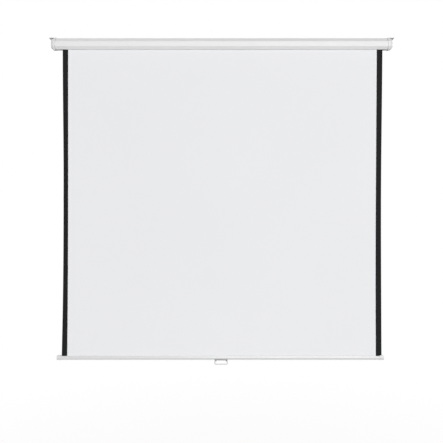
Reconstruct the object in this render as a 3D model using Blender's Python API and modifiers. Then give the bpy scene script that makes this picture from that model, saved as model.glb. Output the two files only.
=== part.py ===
"""A manual wall projector screen, pulled all the way down.

A folded sheet-metal case with moulded end caps hangs flat against the wall. Inside it a spring
roller carries the sheet, which leaves the case by a slot behind the front lip. A ratchet and two
pawls at the left end hold the roller where the sheet was let go. An extruded bar with a pull
handle weights the lower edge.

X runs to the right, -Y to the viewer and Z up. The wall is the plane Y = 0, and Z = 0 is the height
of the roller's axis. All sizes are in metres.
"""

import math

import bmesh
import bpy
from mathutils import Matrix, Vector

# Fits
GAP = 0.0003                    # between pieces that touch
RUNNING_CLEARANCE = 0.0004      # round a shaft that turns
SCREW_CLEARANCE = 0.0003        # round a screw's shank and head

# Screen sheet
WHITE_WIDTH = 1.500
BORDER_WIDTH = 0.025
SHEET_THICKNESS = 0.0005
CURL_LEFT = math.radians(38)    # how far the left border turns back at half height
CURL_RIGHT = math.radians(30)
TURNS = 11                      # whole turns of the roller from raised to lowered

# Roller
TUBE_RADIUS = 0.020
TUBE_WALL = 0.0008
TUBE_OVERHANG = 0.004           # tube beyond each edge of the sheet
WRAP_THICKNESS = 0.0014         # turns of sheet that stay on the tube
PLUG_DEPTH = 0.014              # how far the end plugs go into the tube
PLUG_WALL = 0.0015
PLUG_WEB = 0.002
PLUG_FLANGE = 0.003

# Case
CASE_WALL = 0.0012
ROLL_TO_BACK = 0.0057           # free space behind the roll
ROLL_TO_TOP = 0.0074
ROLL_TO_HEEL = 0.0069
SLOT_FRONT = 0.0045             # from the sheet's middle to the front lip
SLOT_BACK = 0.00625
CHIN_DEPTH = 0.0097             # lower front bevel
CHIN_HEIGHT = 0.00975
BROW_DEPTH = 0.0207             # upper front bevel
BROW_HEIGHT = 0.0207
LIP_RETURN = 0.003
FLANGE_HEIGHT = 0.004
HEEL_WIDTH = 0.004
HEEL_DROP = 0.005               # the back lip hangs this far below the front one
HEEL_RISE = 0.0135              # height of the slope from the heel up to the wall
FOLD_RADIUS = 0.0025
END_SPACE = 0.031               # from the sheet's edge to the end of the case

# End caps
CAP_PROUD = 0.001
CAP_WALL = 0.002
CAP_CORNER = 0.003
CAP_LENGTH = 0.0205
CAP_LAND = 0.010                # full-height part at the top
CAP_RIM = 0.004                 # full-height part at the bottom
CAP_TOP_HIP = 0.014             # how far the end face stops below the top
CAP_BOTTOM_HIP = 0.0145
CAP_FRONT_DRAFT = 0.006
CAP_BACK_DRAFT = 0.006
CAP_END_CHAMFER = 0.003         # corners of the end face
SKIRT_LENGTH = 0.014
SKIRT_FLOOR = 0.020             # the skirt stops this far below the axis, above the slot
BOSS_RADIUS = 0.010
LEFT_BOSS_END = 0.0177          # the boss reaches this far back from the end of the case
RIGHT_BOSS_END = 0.023
SOCKET_DEPTH = 0.0125

# Wall and ceiling brackets
BRACKET_THICKNESS = 0.002
BRACKET_REACH = 0.0143          # beyond the cap
BRACKET_DEPTH = 0.043
BRACKET_DROP = 0.038
BRACKET_CORNER = 0.005
BEND_RADIUS = 0.0025
FIXING_RADIUS = 0.00275
FIXING_LENGTH = 0.011
WALL_FIXING_Z = 0.008

# Screws
SCREW_RADIUS = 0.0015
SCREW_HEAD_RADIUS = 0.003
SCREW_HEAD_HEIGHT = 0.0018
CAP_SCREW_LENGTH = 0.010
BRACKET_SCREW_LENGTH = 0.010
SADDLE_SCREW_LENGTH = 0.008
SCREW_DEPTHS = (0.014, 0.038)   # from the wall

# Spring motor at the left end
SHAFT_RADIUS = 0.004
BLADE_LENGTH = 0.012
BLADE_HEIGHT = 0.0065
BLADE_WIDTH = 0.003
SPEAR_FLANGE_RADIUS = 0.011
SPEAR_FLANGE = 0.003
SPRING_SEAT_RADIUS = 0.007
SPRING_SEAT = 0.020
ROD_RADIUS = 0.00325
ROD_LENGTH = 0.350
ROD_SOCKET = 0.013
SPRING_PLUG_LENGTH = 0.020
SPRING_CURLS = 50
SPRING_POINTS = 9               # a curl
SPRING_WIRE_RADIUS = 0.0009
SPRING_CLEARANCE = 0.0006       # between the coil and its seats

# Ratchet and pawls
RATCHET_THICKNESS = 0.0034
TOOTH_DEPTH = 0.0028
TOOTH_TIP_GAP = 0.0007          # between a tooth at home and the floor of its notch
TOOTH_START = math.radians(38)
TOOTH_END = math.radians(52)
TOOTH_PLAY = math.radians(1.5)
RAMP_END = math.radians(80)
PAWL_THICKNESS = 0.003
PAWL_WIDTH = 0.0038
PAWL_EYE_RADIUS = 0.0034
PAWL_EYE_GAP = 0.0009           # between a pawl's eye and the ratchet
PAWL_LEVER_GAP = 0.0011
PAWL_LIFT_GAP = 0.0002          # between a lifted tooth and the ratchet
RIVET_RADIUS = 0.0015
RIVET_HEAD_RADIUS = 0.0022
RIVET_HEAD = 0.001

# Idle end
GUDGEON_RADIUS = 0.003
GUDGEON_LENGTH = 0.032
IDLE_BOSS_RADIUS = 0.0065

# Bottom bar
PARK_GAP = 0.0033               # between the raised bar and the case
BAR_PAST_LEFT = 0.005           # the bar runs this far past the sheet's left edge
BAR_SHORT_RIGHT = 0.009         # and stops this far short of its right edge, inside the cap
BAR_HEIGHT = 0.022
BAR_DEPTH = 0.013
BAR_TOP_WIDTH = 0.0072
BAR_FOOT_WIDTH = 0.0066
BAR_WALL = 0.0014
BAR_MOUTH = 0.0015
KEDER_RADIUS = 0.0025
KEDER_CLEARANCE = 0.0006
KEDER_DROP = 0.006              # centre of the groove below the bar's top
KEDER_INSET = 0.006             # from each end of the bar to the rod in its groove
BAR_CORNER = 0.0008
BAR_CAP_LENGTH = 0.020
BAR_CAP_PROUD = 0.0005
BAR_CAP_END = 0.003
BAR_CAP_EDGE = 0.0012           # round of the cap's end
BAR_CAP_SHOULDER = 0.006        # larger round of its top outer corner
BAR_PLUG_LENGTH = 0.012

# Pull handle
HANDLE_X = -0.003
HANDLE_WIDTH = 0.065
HANDLE_DROP = 0.019             # from the pivot to the handle's underside
WIRE_RADIUS = 0.0022
HANDLE_CORNER = 0.006
PIVOT_LENGTH = 0.0098
PIVOT_BEND = 0.0032
SADDLE_THICKNESS = 0.0015
SADDLE_WALL = 0.001             # of the upturned front edge
SADDLE_RISE = 0.0062            # of that edge, from the saddle's underside
SADDLE_INSET = 0.001            # from the handle's width to each end of the saddle
KNUCKLE_LENGTH = 0.005
KNUCKLE_WALL = 0.0014
KNUCKLE_DROP = 0.0032           # pivot axis below the saddle
SADDLE_SCREW_X = 0.012

# Places that follow from the sizes above
SHEET_HALF = WHITE_WIDTH / 2 + BORDER_WIDTH
ROLL_RADIUS = TUBE_RADIUS + WRAP_THICKNESS
ROLLER_Y = -(CASE_WALL + ROLL_TO_BACK + ROLL_RADIUS)
SHEET_Y = ROLLER_Y - ROLL_RADIUS - GAP - SHEET_THICKNESS / 2
TRAVEL = TURNS * 2 * math.pi * ROLL_RADIUS

CASE_TOP = CASE_WALL + ROLL_TO_TOP + ROLL_RADIUS
HEEL_Z = -(CASE_WALL + ROLL_TO_HEEL + ROLL_RADIUS)
LIP_Z = HEEL_Z + HEEL_DROP
LIP_Y = SHEET_Y - SLOT_FRONT
CASE_FRONT = LIP_Y - CHIN_DEPTH
FLANGE_Y = SHEET_Y + SLOT_BACK
CASE_HALF = SHEET_HALF + END_SPACE
CAP_START = CASE_HALF + GAP
CAP_END = CAP_START + CAP_LENGTH

TUBE_HALF = SHEET_HALF + TUBE_OVERHANG
TUBE_BORE = TUBE_RADIUS - TUBE_WALL
PLUG_FACE = TUBE_HALF + GAP + PLUG_FLANGE
PLUG_RADIUS = TUBE_BORE - GAP
PLUG_BORE = PLUG_RADIUS - PLUG_WALL

PAWL_PIVOT_RADIUS = PLUG_BORE - RIVET_HEAD_RADIUS - RUNNING_CLEARANCE
RATCHET_RADIUS = PAWL_PIVOT_RADIUS - PAWL_EYE_RADIUS - PAWL_EYE_GAP
RATCHET_FLOOR = RATCHET_RADIUS - TOOTH_DEPTH
TOOTH_TIP_RADIUS = RATCHET_FLOOR + TOOTH_TIP_GAP
PAWL_INNER_RADIUS = RATCHET_RADIUS + PAWL_LEVER_GAP
PAWL_OUTER_RADIUS = PAWL_INNER_RADIUS + PAWL_WIDTH

BAR_TOP = HEEL_Z - PARK_GAP - TRAVEL
BAR_FOOT = BAR_TOP - BAR_HEIGHT
BAR_LEFT = -(SHEET_HALF + BAR_PAST_LEFT)
BAR_RIGHT = SHEET_HALF - BAR_SHORT_RIGHT
SADDLE_FOOT = BAR_FOOT - GAP - SADDLE_THICKNESS
PIVOT_Z = SADDLE_FOOT - KNUCKLE_DROP
SHEET_FOOT = BAR_TOP - KEDER_DROP + KEDER_RADIUS + GAP


def clear_scene():
    for obj in list(bpy.data.objects):
        bpy.data.objects.remove(obj, do_unlink=True)


def new_collection(name):
    collection = bpy.data.collections.new(name)
    bpy.context.scene.collection.children.link(collection)
    return collection


clear_scene()
PARTS = new_collection("projector_screen")
CUTTERS = new_collection("cutters")


def material(name, color, roughness, metallic=0.0):
    made = bpy.data.materials.new(name)
    made.use_nodes = True
    shader = made.node_tree.nodes["Principled BSDF"]
    shader.inputs["Base Color"].default_value = (*color, 1.0)
    shader.inputs["Roughness"].default_value = roughness
    shader.inputs["Metallic"].default_value = metallic
    return made


WHITE_PAINT = material("white_paint", (0.84, 0.84, 0.85), 0.35)
WHITE_PLASTIC = material("white_plastic", (0.86, 0.86, 0.86), 0.45)
COATED_WIRE = material("coated_wire", (0.78, 0.78, 0.79), 0.35)
ZINC_STEEL = material("zinc_steel", (0.60, 0.61, 0.62), 0.35, 1.0)
GREY_PAINT = material("grey_paint", (0.27, 0.27, 0.275), 0.45)
SPRING_STEEL = material("spring_steel", (0.30, 0.31, 0.33), 0.30, 1.0)
DIE_CAST = material("die_cast_zinc", (0.50, 0.51, 0.52), 0.45, 1.0)
MATT_WHITE = material("matt_white_vinyl", (0.88, 0.88, 0.89), 0.90)
BLACK_VINYL = material("black_vinyl", (0.025, 0.025, 0.028), 0.75)
BAR_ALUMINIUM = material("bar_aluminium", (0.82, 0.82, 0.83), 0.35)
NYLON = material("nylon", (0.75, 0.74, 0.70), 0.55)


def add_object(name, data, finish=None, collection=None):
    obj = bpy.data.objects.new(name, data)
    (collection or PARTS).objects.link(obj)
    if finish:
        data.materials.append(finish)
    return obj


def mesh_object(name, bm, finish=None):
    mesh = bpy.data.meshes.new(name)
    bm.to_mesh(mesh)
    bm.free()
    return add_object(name, mesh, finish)


def shade(mesh):
    mesh.shade_smooth()
    mesh.set_sharp_from_angle(angle=math.radians(35))


def realised(obj):
    """The object as a plain welded mesh that faces outwards, with its curve or modifiers applied."""
    bpy.context.view_layer.update()
    graph = bpy.context.evaluated_depsgraph_get()
    mesh = bpy.data.meshes.new_from_object(obj.evaluated_get(graph))
    bm = bmesh.new()
    bm.from_mesh(mesh)
    bmesh.ops.remove_doubles(bm, verts=bm.verts, dist=1e-6)
    bmesh.ops.recalc_face_normals(bm, faces=bm.faces)
    bm.to_mesh(mesh)
    bm.free()
    shade(mesh)
    name = obj.name
    matrix = obj.matrix_world.copy()
    bpy.data.objects.remove(obj, do_unlink=True)
    made = add_object(name, mesh)
    made.matrix_world = matrix
    return made


def rounded(points, radius, steps=3, closed=True):
    """The corners of an outline, or the inner corners of an open path, turned into arcs."""
    result = []
    for index, point in enumerate(points):
        corner = Vector(point)
        if not closed and index in (0, len(points) - 1):
            result.append(corner)
            continue
        before = Vector(points[index - 1]) - corner
        after = Vector(points[(index + 1) % len(points)]) - corner
        half = before.angle(after) / 2
        longest = 0.45 * min(before.length, after.length)
        reach = min(radius / math.tan(half), longest)
        start = corner + before.normalized() * reach
        end = corner + after.normalized() * reach
        middle = (before.normalized() + after.normalized()).normalized()
        centre = corner + middle * reach / math.cos(half)
        first = start - centre
        last = end - centre
        turn = math.atan2(first.x * last.y - first.y * last.x, first.dot(last))
        for step in range(steps + 1):
            result.append(centre + Matrix.Rotation(turn * step / steps, 2) @ first)
    return result


def offset_outline(points, distance):
    """A convex outline, listed anticlockwise, grown by a distance or shrunk by a negative one."""
    result = []
    for index, point in enumerate(points):
        corner = Vector(point)
        into = (corner - Vector(points[index - 1])).normalized()
        out = (Vector(points[(index + 1) % len(points)]) - corner).normalized()
        normal_in = Vector((into.y, -into.x))
        normal_out = Vector((out.y, -out.x))
        share = 1 + normal_in.dot(normal_out)
        result.append(corner + (normal_in + normal_out) * distance / share)
    return result


def arc(centre, radius, start, end, steps):
    return [
        Vector(centre) + Vector((math.cos(angle), math.sin(angle))) * radius
        for angle in (start + (end - start) * step / steps for step in range(steps + 1))
    ]


def circle(centre, radius, steps=16):
    return arc(centre, radius, 0, 2 * math.pi, steps)[:-1]


def prism(name, outlines, start, end, finish=None):
    """Flat outlines of (y, z), the first one outside and the rest holes, drawn out along X."""
    curve = bpy.data.curves.new(name, "CURVE")
    curve.dimensions = "2D"
    curve.fill_mode = "BOTH"
    curve.extrude = abs(end - start) / 2
    for outline in outlines:
        spline = curve.splines.new("POLY")
        spline.points.add(len(outline) - 1)
        for point, place in zip(spline.points, outline):
            point.co = (place[0], place[1], 0, 1)
        spline.use_cyclic_u = True
    obj = add_object(name, curve)
    obj.rotation_euler = (math.pi / 2, 0, math.pi / 2)
    obj.location.x = (start + end) / 2
    obj = realised(obj)
    if finish:
        obj.data.materials.append(finish)
    return obj


def turned(name, profile, axis, centre, finish=None, steps=32):
    """A profile of (station, radius) turned about X through (y, z), or about Z through (x, y)."""
    loop = profile[0][1] > 0
    bm = bmesh.new()
    verts = [bm.verts.new((radius, 0, station)) for station, radius in profile]
    for one, two in zip(verts, verts[1:]):
        bm.edges.new((one, two))
    if loop:
        bm.edges.new((verts[-1], verts[0]))
    obj = mesh_object(name, bm)
    screw = obj.modifiers.new("Turn", "SCREW")
    screw.axis = "Z"
    screw.steps = steps
    screw.render_steps = steps
    screw.use_merge_vertices = True
    screw.merge_threshold = 1e-5
    if axis == "X":
        obj.rotation_euler = (0, math.pi / 2, 0)
        obj.location = (0, centre[0], centre[1])
    else:
        obj.location = (centre[0], centre[1], 0)
    obj = realised(obj)
    if finish:
        obj.data.materials.append(finish)
    return obj


def rod(name, radius, start, end, axis, centre, finish=None, steps=32):
    profile = [(end, 0), (end, radius), (start, radius), (start, 0)]
    return turned(name, profile, axis, centre, finish, steps)


def block(name, low, high, finish=None):
    bm = bmesh.new()
    bmesh.ops.create_cube(bm, size=1)
    size = [b - a for a, b in zip(low, high)]
    middle = [(a + b) / 2 for a, b in zip(low, high)]
    bmesh.ops.scale(bm, vec=size, verts=bm.verts)
    bmesh.ops.translate(bm, vec=middle, verts=bm.verts)
    return mesh_object(name, bm, finish)


def combine(obj, tool, operation):
    """Cuts the tool from the object, or joins it on, by a Boolean that stays on the object."""
    boolean = obj.modifiers.new(tool.name, "BOOLEAN")
    boolean.operation = operation
    boolean.solver = "EXACT"
    boolean.object = tool
    PARTS.objects.unlink(tool)
    CUTTERS.objects.link(tool)
    tool.hide_render = True
    tool.display_type = "WIRE"


def cut(obj, tool):
    combine(obj, tool, "DIFFERENCE")


def join(obj, tool):
    combine(obj, tool, "UNION")


def slot_cutter(name, centre, along, across, length):
    """A round-ended slot that runs along one axis and goes through a plate along another."""
    centre, along, across = Vector(centre), Vector(along), Vector(across)
    side = along.cross(across)
    straight = length / 2 - FIXING_RADIUS
    through = across * BRACKET_THICKNESS * 2
    bm = bmesh.new()
    verts = []
    for sign in (-1, 1):
        end = centre + along * straight * sign - through
        for step in range(9):
            turn = math.pi * (step / 8 - 0.5)
            radial = (along * math.cos(turn) + side * math.sin(turn)) * sign
            verts.append(bm.verts.new(end + radial * FIXING_RADIUS))
    grown = bmesh.ops.extrude_face_region(bm, geom=[bm.faces.new(verts)])
    moved = [item for item in grown["geom"] if isinstance(item, bmesh.types.BMVert)]
    bmesh.ops.translate(bm, vec=through * 2, verts=moved)
    bmesh.ops.recalc_face_normals(bm, faces=bm.faces)
    return mesh_object(name, bm)


def axis_empty(name, place):
    empty = add_object(name, None)
    empty.location = place
    bpy.context.view_layer.update()
    return empty


def carry(parent, *children):
    """Parents the pieces to an empty and leaves them where they are."""
    bpy.context.view_layer.update()
    for child in children:
        child.parent = parent
        child.matrix_parent_inverse = parent.matrix_world.inverted()


def case_outline():
    """The case's outer corners as (y, z), anticlockwise from the top of the wall side."""
    return [
        (0, CASE_TOP),
        (CASE_FRONT + BROW_DEPTH, CASE_TOP),
        (CASE_FRONT, CASE_TOP - BROW_HEIGHT),
        (CASE_FRONT, LIP_Z + CHIN_HEIGHT),
        (LIP_Y, LIP_Z),
        (FLANGE_Y, HEEL_Z),
        (FLANGE_Y + HEEL_WIDTH, HEEL_Z),
        (0, HEEL_Z + HEEL_RISE),
    ]


def case_shell():
    """One folded sheet with a long slot: its edge turns in at the front lip and up at the heel."""
    top_back, top_front, face_top, face_foot, lip, heel, heel_back, back_foot = case_outline()
    chin = (Vector(lip) - Vector(face_foot)).normalized()
    inward = Vector((-chin.y, chin.x))
    path = [
        Vector(lip) + inward * LIP_RETURN,
        lip,
        face_foot,
        face_top,
        top_front,
        top_back,
        back_foot,
        heel_back,
        heel,
        (heel[0], heel[1] + FLANGE_HEIGHT),
    ]
    bm = bmesh.new()
    verts = [bm.verts.new((-CASE_HALF, y, z)) for y, z in rounded(path, FOLD_RADIUS, 3, False)]
    edges = [bm.edges.new(pair) for pair in zip(verts, verts[1:])]
    grown = bmesh.ops.extrude_edge_only(bm, edges=edges)
    moved = [item for item in grown["geom"] if isinstance(item, bmesh.types.BMVert)]
    bmesh.ops.translate(bm, vec=(2 * CASE_HALF, 0, 0), verts=moved)
    bm.normal_update()
    front = min(bm.faces, key=lambda face: face.calc_center_median().y)
    if front.normal.y > 0:
        bmesh.ops.reverse_faces(bm, faces=bm.faces)
    shell = mesh_object("case_shell", bm, WHITE_PAINT)
    wall = shell.modifiers.new("Sheet", "SOLIDIFY")
    wall.thickness = CASE_WALL
    wall.offset = -1
    wall.use_even_offset = True
    for side in (-1, 1):
        for number, depth in enumerate(SCREW_DEPTHS):
            hole = rod(
                f"cut_shell_{side}_{number}", SCREW_RADIUS + SCREW_CLEARANCE,
                CASE_TOP - 3 * CASE_WALL, CASE_TOP + 3 * CASE_WALL,
                "Z", (side * cap_screw_x(), -depth), steps=12,
            )
            cut(shell, hole)
    return shell


def cap_screw_x():
    return CASE_HALF - SKIRT_LENGTH / 2


def bracket_screw_x():
    return CAP_START + CAP_LAND / 2


def clipped_back(points, limit):
    """The outline kept clear of the bracket's rear leaf, which lies between cap and wall."""
    top_back, top_front, *middle, heel_back, back_foot = [Vector(point) for point in points]
    share = (limit - heel_back.x) / (back_foot.x - heel_back.x)
    foot = heel_back.lerp(back_foot, share)
    return [Vector((limit, top_back.y)), top_front, *middle, heel_back, foot]


def cap_outline():
    """The cap's full outline, a little proud of the case."""
    return clipped_back(offset_outline(case_outline(), CAP_PROUD), -(BRACKET_THICKNESS + GAP))


def skirt_outline():
    """The outline of the skirt that plugs into the case, cut off above the slot."""
    points = offset_outline(case_outline(), -(CASE_WALL + GAP))
    points = clipped_back(points, -(BRACKET_THICKNESS + GAP + CAP_PROUD))
    top_back, top_front, face_top, face_foot, lip, heel, heel_back, back_foot = points
    share = (-SKIRT_FLOOR - face_foot.y) / (lip.y - face_foot.y)
    front = face_foot.lerp(lip, share)
    floor = -(SKIRT_FLOOR + HEEL_DROP / 2)
    return [
        top_back, top_front, face_top, face_foot, front,
        Vector((heel.x, floor)), Vector((heel_back.x, floor)), back_foot,
    ]


def end_outline(full):
    """The smaller outline of the cap's end face, corner by corner."""
    top_back, top_front, face_top, face_foot, lip, heel, heel_back, back_foot = full
    top = top_front.y - CAP_TOP_HIP
    front = face_top.x + CAP_FRONT_DRAFT
    back = top_back.x - CAP_BACK_DRAFT
    foot = heel.y + CAP_BOTTOM_HIP
    return [
        Vector((back, top)),
        Vector((front + CAP_END_CHAMFER, top)),
        Vector((front, top - CAP_END_CHAMFER)),
        Vector((front, foot + CAP_END_CHAMFER)),
        Vector((front + CAP_END_CHAMFER, foot)),
        Vector((heel.x, foot)),
        Vector((back - CAP_END_CHAMFER, foot)),
        Vector((back, foot + CAP_END_CHAMFER)),
    ]


def land_outline(full, small):
    """The outline where the top hip and the front draft start, with only the bottom hip begun."""
    share = (CAP_LAND - CAP_RIM) / (CAP_LENGTH - CAP_RIM)
    raised = [Vector((one.x, one.lerp(two, share).y)) for one, two in zip(full[3:], small[3:])]
    return full[:3] + raised


def loft(bm, rings):
    """Faces between rings of (x, outline), each ring with as many points as the next."""
    loops = [[bm.verts.new((x, y, z)) for y, z in outline] for x, outline in rings]
    for one, two in zip(loops, loops[1:]):
        for index in range(len(one)):
            after = (index + 1) % len(one)
            bm.faces.new((one[index], one[after], two[after], two[index]))
    return loops


def end_cap(name, side):
    """A moulded cap with a skirt inside the case, hipped at top and bottom towards its end."""
    full = cap_outline()
    small = end_outline(full)
    skirt = skirt_outline()
    rings = [
        (CASE_HALF - SKIRT_LENGTH, skirt),
        (CAP_START, skirt),
        (CAP_START, full),
        (CAP_START + CAP_RIM, full),
        (CAP_START + CAP_LAND, land_outline(full, small)),
        (CAP_END, small),
    ]
    bm = bmesh.new()
    weights = bm.edges.layers.float.new("bevel_weight_edge")
    loops = loft(bm, [(side * x, rounded(outline, CAP_CORNER, 2)) for x, outline in rings])
    end = bm.faces.new(loops[-1])
    for loop in loops[3:]:
        for index, vert in enumerate(loop):
            bm.edges.get((loop[index - 1], vert))[weights] = 1
    bmesh.ops.recalc_face_normals(bm, faces=bm.faces)
    bm.normal_update()
    if end.normal.x * side < 0:
        bmesh.ops.reverse_faces(bm, faces=bm.faces)
    cap = mesh_object(name, bm, WHITE_PLASTIC)
    bevel = cap.modifiers.new("Soft hips", "BEVEL")
    bevel.width = CAP_PROUD
    bevel.segments = 2
    bevel.limit_method = "WEIGHT"
    wall = cap.modifiers.new("Wall", "SOLIDIFY")
    wall.thickness = CAP_WALL
    wall.offset = -1
    wall.use_even_offset = True
    cap = realised(cap)
    for number, depth in enumerate(SCREW_DEPTHS):
        for kind, x in (("skirt", cap_screw_x()), ("land", bracket_screw_x())):
            hole = rod(
                f"cut_{name}_{kind}_{number}", SCREW_RADIUS + SCREW_CLEARANCE,
                CASE_TOP - 3 * CAP_WALL, CASE_TOP + 2 * CAP_WALL,
                "Z", (side * x, -depth), steps=12,
            )
            cut(cap, hole)
    return cap


def cap_boss(cap, side, radius, reach, socket):
    """A boss from inside the cap's end face back to the roller, with the socket cut in it."""
    start = CASE_HALF - reach
    low, high = sorted((side * start, side * (CAP_END - CAP_WALL / 2)))
    boss = rod(f"{cap.name}_boss", radius, low, high, "X", (ROLLER_Y, 0), steps=24)
    join(cap, boss)
    cut(cap, socket)


def spear_socket():
    start = CASE_HALF - LEFT_BOSS_END
    half_width = BLADE_WIDTH / 2 + GAP
    half_height = BLADE_HEIGHT / 2 + GAP
    return block(
        "cut_spear_socket",
        (-(start + SOCKET_DEPTH), ROLLER_Y - half_width, -half_height),
        (-(start - GAP), ROLLER_Y + half_width, half_height),
    )


def gudgeon_socket():
    start = CASE_HALF - RIGHT_BOSS_END
    end = PLUG_FACE - PLUG_DEPTH + GUDGEON_LENGTH + GAP
    return rod(
        "cut_gudgeon_socket", GUDGEON_RADIUS + RUNNING_CLEARANCE, start - GAP, end,
        "X", (ROLLER_Y, 0), steps=24,
    )


def mounting_bracket(name, side):
    """A bent steel angle: its top leaf lies on the cap, its rear leaf between cap and wall."""
    top = CASE_TOP + CAP_PROUD + GAP + BRACKET_THICKNESS
    inner = CAP_START + GAP
    outer = CAP_END + BRACKET_REACH
    outline = [
        (0, top),
        (-BRACKET_DEPTH, top),
        (-BRACKET_DEPTH, top - BRACKET_THICKNESS),
        (-BRACKET_THICKNESS, top - BRACKET_THICKNESS),
        (-BRACKET_THICKNESS, top - BRACKET_DROP),
        (0, top - BRACKET_DROP),
    ]
    bent = []
    for index, corner in enumerate(outline):
        if index == 0:
            arc_centre = (-BEND_RADIUS, top - BEND_RADIUS)
            bent += arc(arc_centre, BEND_RADIUS, 0, math.pi / 2, 4)
        else:
            bent.append(Vector(corner))
    low, high = sorted((side * inner, side * outer))
    bracket = prism(name, [bent], low, high, ZINC_STEEL)
    bm = bmesh.new()
    bm.from_mesh(bracket.data)
    tips = []
    for edge in bm.edges:
        ends = [bracket.matrix_world @ vert.co for vert in edge.verts]
        at_side = all(abs(end.x - side * outer) < GAP for end in ends)
        at_front = all(abs(end.y + BRACKET_DEPTH) < GAP for end in ends)
        at_foot = all(abs(end.z - (top - BRACKET_DROP)) < GAP for end in ends)
        if at_side and (at_front or at_foot):
            tips.append(edge)
    bmesh.ops.bevel(bm, geom=tips, offset=BRACKET_CORNER, segments=4, affect="EDGES", profile=0.5)
    bm.to_mesh(bracket.data)
    bm.free()
    fixing_x = side * (CAP_END + BRACKET_REACH / 2)
    ceiling = slot_cutter(
        f"cut_{name}_ceiling", (fixing_x, -BRACKET_DEPTH / 2, top), (0, 1, 0), (0, 0, 1), FIXING_LENGTH
    )
    wall = slot_cutter(
        f"cut_{name}_wall", (fixing_x, 0, WALL_FIXING_Z), (0, 0, 1), (0, 1, 0), FIXING_LENGTH
    )
    cut(bracket, ceiling)
    cut(bracket, wall)
    for number, depth in enumerate(SCREW_DEPTHS):
        profile = countersunk_profile(top, SCREW_CLEARANCE)
        hole = turned(
            f"cut_{name}_screw_{number}", profile, "Z", (side * bracket_screw_x(), -depth), steps=16
        )
        cut(bracket, hole)
    return bracket


def countersunk_profile(top, clearance=0.0):
    """A flush screw: a cone as deep as its head is wide beyond the shank, then the shank."""
    head = SCREW_HEAD_RADIUS + clearance
    shank = SCREW_RADIUS + clearance
    face = top - GAP / 3 if clearance == 0 else top + GAP
    shoulder = top - (SCREW_HEAD_RADIUS - SCREW_RADIUS)
    return [
        (face, 0),
        (face, head),
        (top - GAP / 3, head),
        (shoulder, shank),
        (top - BRACKET_SCREW_LENGTH, shank),
        (top - BRACKET_SCREW_LENGTH, 0),
    ]


def bracket_screws(side_name, side):
    top = CASE_TOP + CAP_PROUD + GAP + BRACKET_THICKNESS
    profile = countersunk_profile(top)
    profile.pop(2)
    for name, depth in zip(("rear", "front"), SCREW_DEPTHS):
        place = (side * bracket_screw_x(), -depth)
        turned(f"bracket_screw_{side_name}_{name}", profile, "Z", place, ZINC_STEEL, 16)


def pan_head_screw(name, seat, length, place, direction):
    """A screw whose shank runs from its seat along Z, down for -1 and up for 1."""
    under = seat - direction * GAP
    dome = SCREW_HEAD_HEIGHT * 0.55
    profile = [
        (under + direction * (length + GAP), 0),
        (under + direction * (length + GAP), SCREW_RADIUS),
        (under, SCREW_RADIUS),
        (under, SCREW_HEAD_RADIUS),
        (under - direction * dome, SCREW_HEAD_RADIUS),
        (under - direction * SCREW_HEAD_HEIGHT, SCREW_HEAD_RADIUS * 0.6),
        (under - direction * SCREW_HEAD_HEIGHT, 0),
    ]
    return turned(name, profile, "Z", place, ZINC_STEEL, 16)


def roller_tube():
    profile = [
        (TUBE_HALF, TUBE_BORE), (TUBE_HALF, TUBE_RADIUS),
        (-TUBE_HALF, TUBE_RADIUS), (-TUBE_HALF, TUBE_BORE),
    ]
    return turned("roller_tube", profile, "X", (ROLLER_Y, 0), ZINC_STEEL, 40)


def sheet_wraps():
    inner = TUBE_RADIUS + GAP
    profile = [
        (SHEET_HALF, inner), (SHEET_HALF, ROLL_RADIUS),
        (-SHEET_HALF, ROLL_RADIUS), (-SHEET_HALF, inner),
    ]
    return turned("sheet_wraps", profile, "X", (ROLLER_Y, 0), MATT_WHITE, 40)


def plug_profile(bore):
    """A cup that plugs the tube's end, as distances from the roller's middle and radii."""
    collar = TUBE_HALF + GAP
    web = PLUG_FACE - PLUG_WEB
    foot = PLUG_FACE - PLUG_DEPTH
    return [
        (PLUG_FACE, bore),
        (PLUG_FACE, TUBE_RADIUS),
        (collar, TUBE_RADIUS),
        (collar, PLUG_RADIUS),
        (foot, PLUG_RADIUS),
        (foot, PLUG_BORE),
        (web, PLUG_BORE),
        (web, bore),
    ]


def to_left(profile):
    return [(-station, radius) for station, radius in profile]


def ratchet_ferrule():
    """The plug that turns on the fixed spear and carries the two pawls."""
    profile = to_left(plug_profile(SHAFT_RADIUS + RUNNING_CLEARANCE))
    ferrule = turned("ratchet_ferrule", profile, "X", (ROLLER_Y, 0), DIE_CAST, 40)
    for letter, sign in (("a", 1), ("b", -1)):
        hole = rod(
            f"cut_rivet_{letter}", RIVET_RADIUS + GAP, -(PLUG_FACE + PLUG_WEB),
            -(PLUG_FACE - 2 * PLUG_WEB), "X", (ROLLER_Y, sign * PAWL_PIVOT_RADIUS), steps=16,
        )
        cut(ferrule, hole)
    return ferrule


def pawl_rivet(letter, sign):
    """A shouldered rivet with a head inside the ferrule's web and one outside the pawl."""
    inside = PLUG_FACE - PLUG_WEB - GAP
    outside = PLUG_FACE + 2 * GAP + PAWL_THICKNESS + GAP
    profile = [
        (outside + RIVET_HEAD, 0),
        (outside + RIVET_HEAD, RIVET_HEAD_RADIUS),
        (outside, RIVET_HEAD_RADIUS),
        (outside, RIVET_RADIUS),
        (inside, RIVET_RADIUS),
        (inside, RIVET_HEAD_RADIUS),
        (inside - RIVET_HEAD, RIVET_HEAD_RADIUS),
        (inside - RIVET_HEAD, 0),
    ]
    centre = (ROLLER_Y, sign * PAWL_PIVOT_RADIUS)
    return turned(f"pawl_rivet_{letter}", to_left(profile), "X", centre, ZINC_STEEL, 16)


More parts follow.
